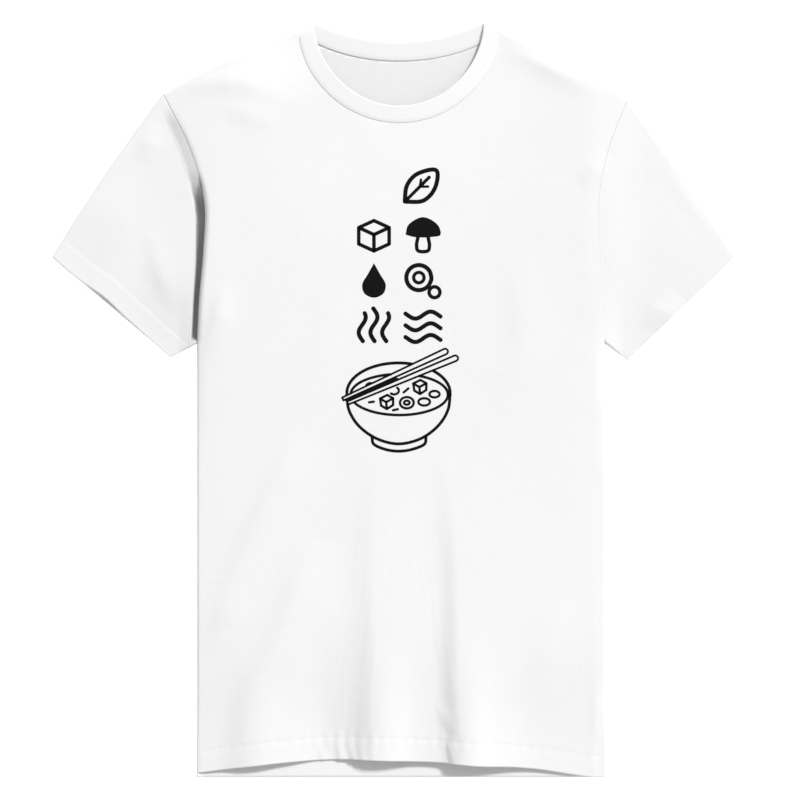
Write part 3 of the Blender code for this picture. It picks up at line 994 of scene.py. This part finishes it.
@dataclass
class Neckband:
    """The ribbed band round the neck opening, doubled and folded at the shoulders."""

    lie: Lie
    half: float = 81.7 * MM  # of the opening
    front_drop: float = 80.6 * MM
    back_drop: float = 18.6 * MM
    width: float = 17 * MM  # from seam to free edge
    thickness: float = 1.5 * MM
    stand: float = 0.9 * MM  # of the front's free edge over its seam
    stand_back: float = 1.0 * MM
    steps: int = 150
    flat: Point = (0.46, 0.036)

    def ring(self, seam: bool) -> Array:
        """One edge of the band, all round: along the front, then back along the back."""
        lie = self.lie
        shares = 0.5 - 0.5 * np.cos(np.linspace(0, 1, self.steps + 1) * math.pi)
        shares = 0.6 * shares + 0.4 * np.linspace(0, 1, self.steps + 1)
        turn = (shares - 0.5) * math.pi
        depth = np.maximum(np.cos(turn), 0)
        top = lie.length / 2
        x = lie.neck_x + self.half * np.sin(turn)
        front = np.stack([x, top - self.front_drop * depth**1.08], axis=1)
        back = np.stack([x, top - self.back_drop * depth**2], axis=1)
        edges = lie.neck_line(True, shares, -0.3 * MM), lie.neck_line(False, shares, -0.3 * MM)
        stand, stand_back = (0.1 * MM, 0.1 * MM) if seam else (self.stand, self.stand_back)
        if seam:
            front, back = edges
        level = lie.seam(edges[0][:1])[0]
        fold = smooth_step(np.minimum(shares, 1 - shares), 0, 0.03)
        high = level + (lie.front(edges[0]) + stand - level) * fold
        low = level + (lie.back(edges[1]) + 0.2 * MM + stand_back - level) * fold
        front = np.concatenate([front, high[:, None]], axis=1)
        back = np.concatenate([back, low[:, None]], axis=1)
        return np.concatenate([front, back[-2:0:-1]])

    def grid(self) -> ClothGrid:
        """The band's skin: a flat tube whose section is bent round at its free edge."""
        seam, free = self.ring(True), self.ring(False)
        for _ in range(10):
            free = (np.roll(free, 1, axis=0) + 2 * free + np.roll(free, -1, axis=0)) / 4
        for _ in range(3):
            seam = (np.roll(seam, 1, axis=0) + 2 * seam + np.roll(seam, -1, axis=0)) / 4
        along = np.roll(free, -1, axis=0) - np.roll(free, 1, axis=0)
        normal = np.cross(along, free - seam)
        for _ in range(6):
            normal = (np.roll(normal, 1, axis=0) + 2 * normal + np.roll(normal, -1, axis=0)) / 4
        normal /= np.linalg.norm(normal, axis=1)[:, None]
        if normal[self.steps // 2, 2] < 0:
            normal = -normal
        half = self.thickness / 2
        turn = np.linspace(-math.pi / 2, math.pi / 2, 9)
        # The section swells from the thin seam and ends in a round fold.
        over = [(s, half * (0.30 + 0.70 * min(1, s * 5))) for s in np.linspace(0, 0.93, 16)]
        fold = [(0.945 + 0.055 * math.cos(a), half * math.sin(-a)) for a in turn]
        under = [(s, -half * (0.30 + 0.70 * min(1, s * 5))) for s in np.linspace(0.93, 0, 10)]
        section = np.array(over + fold[1:-1] + under)
        share, lift = section[:, 0], section[:, 1]
        points = seam[:, None] + (free - seam)[:, None] * share[None, :, None]
        points = points + normal[:, None] * lift[None, :, None]
        middle = (free + seam) / 2
        run = np.cumsum(np.linalg.norm(np.roll(middle, -1, 0) - middle, axis=1))
        sized = section * [self.width, 1]
        reach = np.cumsum(np.linalg.norm(np.diff(sized, axis=0, prepend=sized[:1]), axis=1))
        cloth = np.stack(np.broadcast_arrays(run[:, None], reach[None, :]), axis=2)
        return ClothGrid(points[:, ::-1], cloth[:, ::-1], np.zeros(points.shape[:2]), wrapped=True)

    def build(self, rib: Rib) -> bpy.types.Object:
        """Builds and dresses the band."""
        piece = self.grid().build("neckband_rib", 0.35 * MM)
        dress(piece, rib.material("neckband_knit"), "neckband")
        return piece


# ---------------------------------------------------------------- stitching


@dataclass
class Stitching:
    """Rows of short stitches that lie on the cloth."""

    length: float = 2.5 * MM
    pitch: float = 3.3 * MM
    thick: float = 0.42 * MM
    high: float = 0.30 * MM

    def along(self, line: Array, normals: Array, bm: bmesh.types.BMesh) -> int:
        """Lays stitches along a line.

        Args:
            line: points on the cloth's outside.
            normals: the cloth's normal at each of them.
            bm: what the stitches are added to.

        Returns:
            How many stitches were laid.
        """
        steps = np.linalg.norm(np.diff(line, axis=0), axis=1)
        run = np.concatenate([[0], np.cumsum(steps)])
        count = int(run[-1] / self.pitch)
        centres = (np.arange(count) + 0.5) * self.pitch
        for centre in centres:
            spots = [
                np.array([np.interp(s, run, line[:, k]) for k in range(3)])
                for s in (centre - self.length / 2, centre + self.length / 2, centre)
            ]
            up = np.array([np.interp(centre, run, normals[:, k]) for k in range(3)])
            up /= np.linalg.norm(up)
            along = spots[1] - spots[0]
            along /= np.linalg.norm(along)
            side = np.cross(up, along)
            side /= np.linalg.norm(side)
            up = np.cross(along, side)
            made = bmesh.ops.create_uvsphere(bm, u_segments=6, v_segments=4, radius=0.5)
            for vert in made["verts"]:
                x, y, z = vert.co
                spot = spots[2] + along * z * self.length + side * x * self.thick
                vert.co = spot + up * (y * self.high + 0.06 * MM)
        return count


def surface_normals(points: Array, height: Callable[[Array], Array]) -> Array:
    """Reads the normals of a height function over points of the plan."""
    step = 0.6 * MM
    slope_x = height(points + [step, 0]) - height(points - [step, 0])
    slope_y = height(points + [0, step]) - height(points - [0, step])
    normals = np.stack([-slope_x, -slope_y, np.full(len(points), 2 * step)], axis=1)
    return normals / np.linalg.norm(normals, axis=1)[:, None]


@dataclass
class HemStitches:
    """The twin rows of stitches along the hems and cuffs."""

    lie: Lie
    body: Body
    sleeves: tuple[Sleeve, ...]
    rows: tuple[float, ...] = (HEM_DEPTH - 1.2 * MM, HEM_DEPTH + 3.6 * MM)

    def hem_rows(self, bm: bmesh.types.BMesh, stitching: Stitching, front: bool) -> int:
        """Stitches one panel's hem on its outside."""
        u = np.linspace(0.012, 0.988, 160)
        count = 0
        for row in self.rows:
            share = row / self.lie.length
            flat = self.body.plan(front, u, np.array([0.0, share, 1.0]))[1]
            height = self.lie.front if front else self.lie.back
            normals = surface_normals(flat, height)
            z = height(flat)
            if front:
                z = z + self.body.hem_profile(np.full(len(flat), row), flat[:, 0])
            else:
                normals = -normals
                z = z + 0.30 * MM
            line = np.concatenate([flat, z[:, None]], axis=1) + normals * CLOTH / 2
            count += stitching.along(line, normals, bm)
        return count

    def cuff_rows(self, bm: bmesh.types.BMesh, stitching: Stitching, sleeve: Sleeve) -> int:
        """Stitches one cuff on the upper layer's outside."""
        count = 0
        across = np.linspace(0.035, 0.965, 60)
        ends = sleeve.plan(True, across, np.array([0.0, 1.0]))
        run = np.linalg.norm(ends[:, 1] - ends[:, 0], axis=1)
        for row in self.rows:
            share = 1 - row / run
            keep = share > 0.12
            spots = [
                sleeve.plan(True, across, np.array([0.0, s, 1.0]))[i, 1]
                for i, s in enumerate(share)
                if keep[i]
            ]
            flat = np.array(spots)
            normals = surface_normals(flat, self.lie.front)
            z = self.lie.front(flat)
            if sleeve.side.sign < 0:
                z = sleeve.trench(flat, z)[0]
            line = np.concatenate([flat, z[:, None]], axis=1) + normals * (CLOTH / 2 - 0.1 * MM)
            count += stitching.along(line, normals, bm)
        return count

    def build(self, thread: Thread) -> bpy.types.Object:
        """Builds and dresses all the stitches as one piece."""
        bm = bmesh.new()
        stitching = Stitching()
        count = self.hem_rows(bm, stitching, True) + self.hem_rows(bm, stitching, False)
        for sleeve in self.sleeves:
            count += self.cuff_rows(bm, stitching, sleeve)
        log.info("hem and cuff stitches: %d", count)
        return finished(bm, "hem_stitches", thread.material("sewing_thread"))


# ---------------------------------------------------------------- the print


class Sign(Enum):
    """The small signs of what goes into the soup, each in its place on the chest."""

    LEAF = (26.4 * MM, 204.5 * MM)
    MUSHROOM = (28.3 * MM, 158.4 * MM)
    RINGS = (28.3 * MM, 114.2 * MM)
    WAVES = (28.3 * MM, 70.1 * MM)
    CUBE = (-18.7 * MM, 158.4 * MM)
    DROP = (-18.7 * MM, 114.2 * MM)
    STEAM = (-18.7 * MM, 72.0 * MM)


@dataclass
class Print:
    """The chest print: a film of ink made of strokes, which follows the cloth."""

    lie: Lie
    lift: float = 0.09 * MM  # of the ink over the cloth's outside
    line: float = 2.9 * MM  # the drawing's line
    bold: float = 4.1 * MM  # the signs' line
    size: float = 1.12  # of the signs
    step: float = 1.2 * MM
    bare: list[Array] = field(default_factory=list)  # corners of places other lines skip

    def is_bare(self, line: Array) -> Array:
        """Which points of a line lie in one of the places that are kept bare."""
        hidden = np.zeros(len(line), bool)
        for corners in self.bare:
            ways = np.roll(corners, -1, axis=0) - corners
            off = line[:, None] - corners[None]
            hidden |= np.all(ways[:, 0] * off[:, :, 1] - ways[:, 1] * off[:, :, 0] > 0, axis=1)
        return hidden

    def stroke(
        self, bm: bmesh.types.BMesh, points: Sequence[Point], width: float, closed: bool = False
    ) -> None:
        """Lays a round-ended stroke along a smooth line.

        Args:
            bm: what the stroke is added to.
            points: what the line goes through, in plan.
            width: of the stroke.
            closed: whether the line's end meets its start.
        """
        knots = np.array(points, float)
        if closed:
            knots = np.vstack([knots, knots[:1]])
        if len(knots) > 2:
            fine = smooth_line(knots, np.linspace(0, 1, 24 * len(knots)))
        else:
            fine = knots
        steps = np.linalg.norm(np.diff(fine, axis=0), axis=1)
        run = np.concatenate([[0], np.cumsum(steps)])
        count = max(4, int(run[-1] / self.step))
        places = np.linspace(0, run[-1], count + 1)
        line = np.stack([np.interp(places, run, fine[:, k]) for k in range(2)], axis=1)
        hidden = self.is_bare(line)
        if hidden.any():
            breaks = np.flatnonzero(np.diff(hidden.astype(int))) + 1
            for part, gone in zip(np.split(line, breaks), np.split(hidden, breaks)):
                if not gone[0] and len(part) > 1:
                    self.ribbon(bm, part, width, False)
            return
        self.ribbon(bm, line, width, closed)

    def ribbon(self, bm: bmesh.types.BMesh, line: Array, width: float, closed: bool) -> None:
        """Gives evenly spaced points of a line their width and lays them on the cloth."""
        way = np.gradient(line, axis=0)
        if closed:
            way[0] = way[-1] = line[1] - line[-2]
        way /= np.linalg.norm(way, axis=1)[:, None]
        side = np.stack([-way[:, 1], way[:, 0]], axis=1)
        half = np.full(len(line), width / 2)
        if not closed:
            caps = np.linspace(0, 1, 5)[:-1]
            ends = width / 2 * np.sqrt(1 - (1 - caps) ** 2)
            before = line[0] - way[0] * (width / 2 * (1 - caps))[:, None]
            after = line[-1] + way[-1] * (width / 2 * (1 - caps[::-1]))[:, None]
            line = np.vstack([before, line, after])
            side = np.vstack([np.repeat(side[:1], 4, 0), side, np.repeat(side[-1:], 4, 0)])
            half = np.concatenate([np.maximum(ends, 0.02 * MM), half, np.maximum(ends[::-1], 0.02 * MM)])
        across = np.array([-1, -0.35, 0.35, 1])
        grid = line[None] + side[None] * (across[:, None] * half[None])[:, :, None]
        self.film(bm, grid)

    def film(self, bm: bmesh.types.BMesh, grid: Array) -> None:
        """Adds a grid of plan points to the ink as a thin film on the cloth."""
        rows, columns = grid.shape[:2]
        made = bmesh.ops.create_grid(bm, x_segments=columns - 1, y_segments=rows - 1, size=0.5)
        uv = bm.loops.layers.uv.verify()
        flat = grid.reshape(-1, 2)
        z = self.lie.front(flat) + CLOTH / 2 + self.lift
        points = np.concatenate([flat, z[:, None]], axis=1).reshape(rows, columns, 3)
        for vert in made["verts"]:
            i = round((vert.co.y + 0.5) * (rows - 1))
            j = round((vert.co.x + 0.5) * (columns - 1))
            vert.co = points[i, j]
            for loop in vert.link_loops:
                loop[uv].uv = points[i, j, :2]

    def patch(self, bm: bmesh.types.BMesh, outline: Sequence[Point], rings: int = 5) -> None:
        """Fills a closed outline that can be seen whole from its middle."""
        knots = np.array(list(outline) + [outline[0]], float)
        border = smooth_line(knots, np.linspace(0, 1, 49))
        middle = border[:-1].mean(axis=0)
        shares = np.linspace(0, 1, rings)
        grid = middle + (border[None] - middle) * shares[:, None, None]
        self.film(bm, grid)

    def arc(
        self, centre: Point, radii: Point, start: float, end: float, count: int = 13
    ) -> list[Point]:
        """Lists points of an ellipse's arc, in degrees from +X."""
        turns = np.radians(np.linspace(start, end, count))
        xs, ys = centre[0] + radii[0] * np.cos(turns), centre[1] + radii[1] * np.sin(turns)
        return list(zip(xs, ys))

    def moved(self, centre: Point, points: Sequence[Point]) -> list[Point]:
        """Puts points given in millimetres round a centre."""
        size = self.size * MM
        return [(centre[0] + x * size, centre[1] + y * size) for x, y in points]

    def sign(self, bm: bmesh.types.BMesh, sign: Sign) -> None:
        """Draws one sign in its place."""
        spot, bold = sign.value, self.bold
        match sign:
            case Sign.LEAF:
                blade = [(-14, -13), (-12, 1), (-3, 11), (13, 14), (12, -1), (2, -12)]
                self.stroke(bm, self.moved(spot, blade), bold, closed=True)
                self.stroke(bm, self.moved(spot, [(-14, -13), (-3, -2), (7, 8)]), bold * 0.8)
                self.stroke(bm, self.moved(spot, [(-1, 0), (0, 6)]), bold * 0.6)
                self.stroke(bm, self.moved(spot, [(-1, 0), (6, 0)]), bold * 0.6)
            case Sign.MUSHROOM:
                cap = [(-15, 0), (-12, 9), (0, 15), (12, 9), (15, 0), (8, -2), (0, -2.5), (-8, -2)]
                self.patch(bm, self.moved(spot, cap))
                stem = [(-4.5, -3), (-5.5, -9), (-4, -14), (4, -14), (5.5, -9), (4.5, -3)]
                self.stroke(bm, self.moved(spot, stem), bold * 0.85)
            case Sign.RINGS:
                for (x, y), radius, width in (((-4, 3), 12.0, 1.0), ((-4, 3), 5.0, 0.8),
                                              ((11, -11), 5.2, 0.85)):
                    middle = (spot[0] + x * MM, spot[1] + y * MM)
                    ring = self.arc(middle, (radius * MM, radius * MM), 0, 345)
                    self.stroke(bm, ring, bold * width, closed=True)
            case Sign.WAVES:
                for level in (10, 0, -10):
                    wave = [(x, level + 3 * math.sin(x / 4.2)) for x in range(-15, 16, 2)]
                    self.stroke(bm, self.moved(spot, wave), bold)
            case Sign.CUBE:
                rim = [(-13, 6), (0, 12), (13, 6), (0, 0)]
                for a, b in zip(rim, rim[1:] + rim[:1]):
                    self.stroke(bm, self.moved(spot, [a, b]), bold * 0.85)
                for a, b in (((-13, 6), (-13, -8)), ((0, 0), (0, -14)), ((13, 6), (13, -8)),
                             ((-13, -8), (0, -14)), ((0, -14), (13, -8))):
                    self.stroke(bm, self.moved(spot, [a, b]), bold * 0.85)
            case Sign.DROP:
                drop = [(0, 15), (-5, 6), (-10, -3), (-8, -11), (0, -14.5), (8, -11), (10, -3), (5, 6)]
                self.patch(bm, self.moved(spot, drop))
            case Sign.STEAM:
                for left, high in ((-10, 11), (0, 15), (10, 11)):
                    wisp = [(left + 3 * math.sin(y / 4.2), y) for y in range(-14, high, 2)]
                    self.stroke(bm, self.moved(spot, wisp), bold)

    def chopsticks(self, bm: bmesh.types.BMesh) -> None:
        """Draws two tapered sticks in outline, with ink between them where they are close."""
        line = self.line * 0.68
        inner = []
        for tip, end in (((-48.5, 1.0), (49.5, 46.4)), ((-44.1, -3.0), (59.2, 40.0))):
            start, stop = np.array(tip) * MM, np.array(end) * MM
            way = (stop - start) / np.linalg.norm(stop - start)
            side = np.array([-way[1], way[0]])
            low, high = side * 1.5 * MM, side * 2.7 * MM
            edge = [start + low, start - low, stop - high, stop + high]
            for a, b in ((0, 3), (1, 2), (0, 1)):
                self.stroke(bm, [tuple(edge[a]), tuple(edge[b])], line)
            turns = np.radians(np.linspace(-90, 90, 7))
            cap = [stop + (way * math.cos(a) + side * math.sin(a)) * 2.7 * MM for a in turns]
            self.stroke(bm, [tuple(point) for point in cap], line)
            self.bare.append(np.array(edge))
            inner.append(edge)
        between = np.array([inner[0][1], inner[1][0], inner[1][3], inner[0][2]])
        self.bare.append(between)
        rows = np.linspace(0, 1, 5)[:, None, None]
        along = np.linspace(0, 0.5, 50)[None, :, None]
        upper = between[0] + (between[3] - between[0]) * along
        lower = between[1] + (between[2] - between[1]) * along
        self.film(bm, lower + (upper - lower) * rows)

    def bowl(self, bm: bmesh.types.BMesh) -> None:
        """Draws the soup bowl: its far rim, the soup's edge, the wall and the foot."""
        line = self.line
        far_rim = self.arc((4.8 * MM, 6.5 * MM), (49.5 * MM, 29 * MM), -3, 183, 25)
        self.stroke(bm, far_rim, line)
        soup = self.arc((5.6 * MM, 5.2 * MM), (46.6 * MM, 19.6 * MM), 0, 352, 33)
        self.stroke(bm, soup, line * 0.9, closed=True)
        wall = [(-44.7, 5), (-42.5, -10), (-33, -25), (-16, -37), (4.8, -42), (26, -37),
                (42.5, -25), (52, -10), (54.3, 5)]
        self.stroke(bm, [(x * MM, y * MM) for x, y in wall], line)
        foot = [(-20.6, -35.5), (-18.6, -42.5), (-7, -47.5), (5, -49), (17, -47.5),
                (29.4, -42.5), (31.2, -35.5)]
        self.stroke(bm, [(x * MM, y * MM) for x, y in foot], line)

    def filling(self, bm: bmesh.types.BMesh) -> None:
        """Draws what swims in the soup: two cubes, rings, leaves and dashes."""
        line = self.line * 0.82
        for spot in ((25.2, 12.6), (-6.6, -1.8)):
            corners = {
                "left": (-6.3, 3.2), "back": (0.6, 6.6), "right": (6.3, 3.4), "middle": (-0.4, -0.2),
                "low_left": (-5.2, -3.6), "low": (0.2, -6.8), "low_right": (6.2, -3.0),
            }
            ways = (
                ("left", "back"), ("back", "right"), ("right", "middle"), ("middle", "left"),
                ("left", "low_left"), ("middle", "low"), ("right", "low_right"),
                ("low_left", "low"), ("low", "low_right"),
            )
            for way in ways:
                ends = [corners[name] for name in way]
                self.stroke(bm, [((spot[0] + x) * MM, (spot[1] + y) * MM) for x, y in ends], line)
        for spot, radii in (((12.8, -2.6), (6.6, 5.4)), ((12.8, -2.6), (2.8, 1.9)),
                            ((39.3, 5.6), (4.9, 3.1)), ((29.4, -1.8), (5.6, 3.5))):
            ring = self.arc((spot[0] * MM, spot[1] * MM), (radii[0] * MM, radii[1] * MM), 0, 340, 19)
            self.stroke(bm, ring, line, closed=True)
        for spot, start, end in (((0.6, 9.0), -130, 50), ((-21.8, 12.6), 15, 175)):
            half = self.arc((spot[0] * MM, spot[1] * MM), (4.6 * MM, 3.6 * MM), start, end)
            self.stroke(bm, half, line)
        for x, y, rise in ((12.0, 9.2, 1.9), (-21.1, -1.9, 0.3), (1.9, -9.3, 0.5)):
            ends = [((x - 2.3) * MM, (y - rise) * MM), ((x + 2.3) * MM, (y + rise) * MM)]
            self.stroke(bm, ends, line)

    def build(self, ink: Ink) -> bpy.types.Object:
        """Builds and dresses the whole print as one film."""
        bm = bmesh.new()
        for sign in Sign:
            self.sign(bm, sign)
        self.chopsticks(bm)
        self.bowl(bm)
        self.filling(bm)
        bmesh.ops.remove_doubles(bm, verts=bm.verts[:], dist=1e-7)
        bmesh.ops.recalc_face_normals(bm, faces=bm.faces[:])
        for face in bm.faces:
            if face.normal.z < 0:
                face.normal_flip()
        piece = finished(bm, "chest_print", ink.material("black_ink"))
        piece.data.uv_layers[0].name = "cloth"
        return piece


# ---------------------------------------------------------------- putting together


def dress(piece: bpy.types.Object, material: bpy.types.Material, node: str) -> None:
    """Gives a piece its material and its body, and hides the model's part that it stands for."""
    piece.data.materials.append(material)
    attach(piece, "root")
    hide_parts(node)


def finished(
    bm: bmesh.types.BMesh, name: str, material: bpy.types.Material
) -> bpy.types.Object:
    """Makes a loose piece on the front panel of a bmesh.

    Args:
        bm: the finished mesh, which is freed.
        name: the piece's name.
        material: its finish.

    Returns:
        The new object, at the origin.
    """
    for face in bm.faces:
        face.smooth = True
    mesh = bpy.data.meshes.new(name)
    bm.to_mesh(mesh)
    bm.free()
    mesh.materials.append(material)
    piece = bpy.data.objects.new(name, mesh)
    bpy.context.scene.collection.objects.link(piece)
    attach(piece, "root")
    return piece


LEFT = Side(
    sign=-1,
    body_x=188.6 * MM,
    underarm_y=54.7 * MM,
    tip=(221.3 * MM, 293.8 * MM),
    neck=(90.8 * MM, 355 * MM),
    cuff_out=(327.6 * MM, 137.3 * MM),
    cuff_in=(213.6 * MM, 41.3 * MM),
    armhole=((195.5 * MM, 241 * MM), (181.6 * MM, 190 * MM), (182.6 * MM, 142 * MM),
             (186.4 * MM, 98 * MM)),
    shoulder_bulge=3.2 * MM,
    sleeve_bulge=2.6 * MM,
    cuff_pull=((0.0, 0.0), (0.22, 0.1 * MM), (0.42, 3.0 * MM), (0.62, 1.3 * MM),
               (0.8, 0.5 * MM), (1.0, 0.0)),
    cuff_height=((-0.3, 0.7), (0.0, 0.7), (0.2, 0.68), (0.42, 0.88), (0.6, 0.68), (0.8, 0.58),
                 (1.0, 0.52), (1.3, 0.6)),
)
RIGHT = Side(
    sign=1,
    body_x=203 * MM,
    underarm_y=54.7 * MM,
    tip=(224.6 * MM, 289 * MM),
    neck=(101.2 * MM, 355 * MM),
    cuff_out=(328 * MM, 138.5 * MM),
    cuff_in=(224.6 * MM, 38.4 * MM),
    armhole=((207 * MM, 244 * MM), (197 * MM, 197 * MM), (197.5 * MM, 144 * MM)),
    shoulder_bulge=0.0,
    sleeve_bulge=0.2 * MM,
    cuff_pull=((0.0, 0.0), (0.5, 0.2 * MM), (0.8, 0.7 * MM), (1.0, 0.0)),
    cuff_height=((-0.3, 0.75), (0.0, 0.75), (0.3, 0.72), (0.6, 0.64), (1.0, 0.50), (1.3, 0.6)),
)

FOLDS = (
    Fold(((-0.012, -0.045), (-0.018, -0.145), (-0.016, -0.252), (-0.018, -0.301),
          (-0.020, -0.372)), (0.0, 0.0022, 0.0042, 0.0050, 0.0056), 0.012, 0.036),
    Fold(((0.050, -0.045), (0.0610, -0.145), (0.0625, -0.2035), (0.0625, -0.277),
          (0.070, -0.372)), (0.0, 0.0029, 0.0044, 0.0060, 0.0064), 0.0088, 0.064),
    Fold(((-0.072, -0.130), (-0.090, -0.185), (-0.112, -0.240), (-0.136, -0.292),
          (-0.142, -0.372)), (0.0, 0.0028, 0.0036, 0.0028, 0.0018), 0.011, 0.026),
    Fold(((-0.084, -0.035), (-0.106, -0.071), (-0.126, -0.110), (-0.148, -0.160),
          (-0.165, -0.220)), (0.0, 0.0022, 0.0024, 0.0018, 0.0), 0.0075, 0.018),
    Fold(((-0.150, -0.165), (-0.164, -0.205), (-0.170, -0.250)), (0.0, 0.0012, 0.0), 0.007, 0.012),
    Fold(((-0.040, 0.105), (-0.072, 0.046), (-0.108, -0.012)), (0.0, 0.0012, 0.0), 0.009, 0.014),
    Fold(((0.112, 0.145), (0.123, 0.090), (0.121, 0.041), (0.083, 0.012)),
         (0.0, 0.0010, 0.0011, 0.0), 0.009, 0.018),
    Fold(((0.168, -0.195), (0.148, -0.245), (0.127, -0.297)), (0.0, 0.0013, 0.0), 0.010, 0.018),
    Fold(((0.206, -0.250), (0.200, -0.292), (0.198, -0.330)), (0.0, 0.0014, 0.0), 0.006, 0.010),
    Fold(((-0.214, 0.300), (-0.160, 0.304), (-0.103, 0.294)), (0.0, 0.0019, 0.0), 0.0065, 0.009),
    Fold(((-0.178, 0.283), (-0.140, 0.274), (-0.103, 0.256)), (0.0, 0.0010, 0.0), 0.006, 0.010),
    Fold(((0.106, 0.345), (0.155, 0.322), (0.206, 0.297)), (0.0, 0.0022, 0.0), 0.010, 0.0055),
    Fold(((-0.160, 0.115), (-0.168, 0.080), (-0.180, 0.040)), (0.0, 0.0022, 0.0), 0.005, 0.010),
    Fold(((-0.228, 0.268), (-0.236, 0.247), (-0.243, 0.226)), (0.0, 0.0016, 0.0), 0.006, 0.009),
    Fold(((-0.236, 0.170), (-0.222, 0.118), (-0.206, 0.086)), (0.0, 0.0014, 0.0), 0.006, 0.008),
    Fold(((0.276, 0.098), (0.262, 0.084), (0.246, 0.068)), (0.0, 0.0016, 0.0), 0.004, 0.006),
    Fold(((0.268, 0.106), (0.252, 0.088), (0.236, 0.070)), (0.0, 0.0012, 0.0), 0.004, 0.006),
    Fold(((0.178, 0.206), (0.192, 0.221), (0.206, 0.236)), (0.0, 0.0012, 0.0), 0.008, 0.007),
    Fold(((0.262, 0.236), (0.292, 0.196), (0.318, 0.152)), (0.0, 0.0012, 0.0), 0.009, 0.006),
    # Short puckers between the hem's stitches and its edge.
    Fold(((-0.0715, -0.336), (-0.0680, -0.345)), (0.0, 0.0008), 0.0013, 0.0036),
    Fold(((-0.0550, -0.328), (-0.0510, -0.345)), (0.0003, 0.0012), 0.0013, 0.0036),
    Fold(((-0.0445, -0.328), (-0.0385, -0.345)), (0.0003, 0.0012), 0.0013, 0.0036),
    Fold(((-0.0350, -0.326), (-0.0300, -0.345)), (0.0003, 0.0013), 0.0013, 0.0036),
    Fold(((-0.0225, -0.326), (-0.0205, -0.345)), (0.0003, 0.0007), 0.0013, 0.0036),
    Fold(((0.0515, -0.322), (0.0530, -0.334), (0.0570, -0.349)), (0.0, 0.0019, 0.0022), 0.0010, 0.0050),
    Fold(((0.0400, -0.292), (0.0480, -0.305), (0.0600, -0.322)), (0.0, 0.0012, 0.0), 0.0020, 0.0040),
)


class Studio:
    """The plain floor, the soft light and the camera that looks straight down."""

    def floor(self) -> None:
        """Lays a wide pale floor under the shirt."""
        bm = bmesh.new()
        bmesh.ops.create_grid(bm, x_segments=1, y_segments=1, size=8)
        mesh = bpy.data.meshes.new("floor")
        bm.to_mesh(mesh)
        bm.free()
        floor = bpy.data.objects.new("floor", mesh)
        bpy.context.scene.collection.objects.link(floor)
        shader = Shader("floor_white")
        shader.set(Roughness=0.9, Specular_IOR_Level=0.0)
        shader.principled.inputs["Base Color"].default_value = (0.96, 0.96, 0.96, 1)
        shader.principled.inputs["Emission Color"].default_value = (1, 1, 1, 1)
        shader.set(Emission_Strength=0.5)
        mesh.materials.append(shader.material)

    def light(self) -> None:
        """Sets an even white surround and a soft key light from the upper right."""
        world = bpy.data.worlds.new("studio")
        bpy.context.scene.world = world
        world.use_nodes = True
        background = world.node_tree.nodes["Background"]
        background.inputs["Color"].default_value = (1, 1, 1, 1)
        background.inputs["Strength"].default_value = 0.56
        key = bpy.data.lights.new("key", "SUN")
        key.angle = math.radians(10)
        key.energy = 2.75
        lamp = bpy.data.objects.new("key", key)
        lamp.rotation_euler = (math.radians(47), 0, math.radians(180 - 41.5))
        bpy.context.scene.collection.objects.link(lamp)

    def camera(self) -> None:
        """Puts the camera over the shirt, with the collar at the picture's top."""
        lens = bpy.data.cameras.new("camera")
        lens.lens = 150
        lens.sensor_width = 36
        eye = bpy.data.objects.new("camera", lens)
        eye.location = (6.24 * MM, 0, 3.2 + 9 * MM)
        bpy.context.scene.collection.objects.link(eye)
        bpy.context.scene.camera = eye
        bpy.context.scene.view_settings.view_transform = "Standard"

    def build(self) -> None:
        """Builds all three."""
        self.floor()
        self.light()
        self.camera()


def main() -> None:
    """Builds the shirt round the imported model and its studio."""
    logging.basicConfig(level=logging.INFO, format="%(message)s")
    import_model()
    Studio().build()
    lie = Lie(
        length=725 * MM,
        left=LEFT,
        right=RIGHT,
        folds=FOLDS,
        hem_rise=((0.0, 4.3 * MM), (0.12, 10.6 * MM), (0.22, 14.6 * MM), (0.32, 17.0 * MM),
                  (0.38, 17.5 * MM), (0.5, 16.2 * MM), (0.62, 14.2 * MM), (0.70, 11.6 * MM),
                  (0.78, 10.2 * MM), (0.85, 7.4 * MM), (0.92, 3.0 * MM), (0.97, 0.4 * MM),
                  (1.0, 0.1 * MM)),
        hem_height=((-0.190, 5.2 * MM), (-0.165, 7.0 * MM), (-0.130, 11.0 * MM),
                    (-0.100, 8.0 * MM), (-0.064, 3.2 * MM), (-0.044, 5.5 * MM),
                    (-0.012, 11.0 * MM), (0.022, 7.0 * MM), (0.045, 8.5 * MM),
                    (0.074, 13.6 * MM), (0.100, 7.8 * MM), (0.124, 4.0 * MM),
                    (0.160, 3.4 * MM), (0.203, 3.6 * MM)),
        gap_width=((0.045, 5.6 * MM), (0.108, 5.6 * MM), (0.150, 7.2 * MM), (0.185, 9.0 * MM),
                   (0.220, 9.4 * MM), (0.268, 7.0 * MM), (0.2938, 1.0 * MM)),
    )
    body = Body(lie)
    sleeves = (
        Sleeve(lie, LEFT, "sleeve_left", area=0.052),
        Sleeve(lie, RIGHT, "sleeve_right", area=0.047),
    )
    jersey = Jersey()
    pieces = body.build(jersey)
    pieces += [sleeve.build(jersey) for sleeve in sleeves]
    pieces.append(Neckband(lie).build(Rib()))
    pieces.append(HemStitches(lie, body, sleeves).build(Thread()))
    pieces.append(Print(lie).build(Ink()))
    for piece in pieces:
        log.info("%s: %d faces", piece.name, len(piece.data.polygons))


if __name__ == "__main__":
    main()
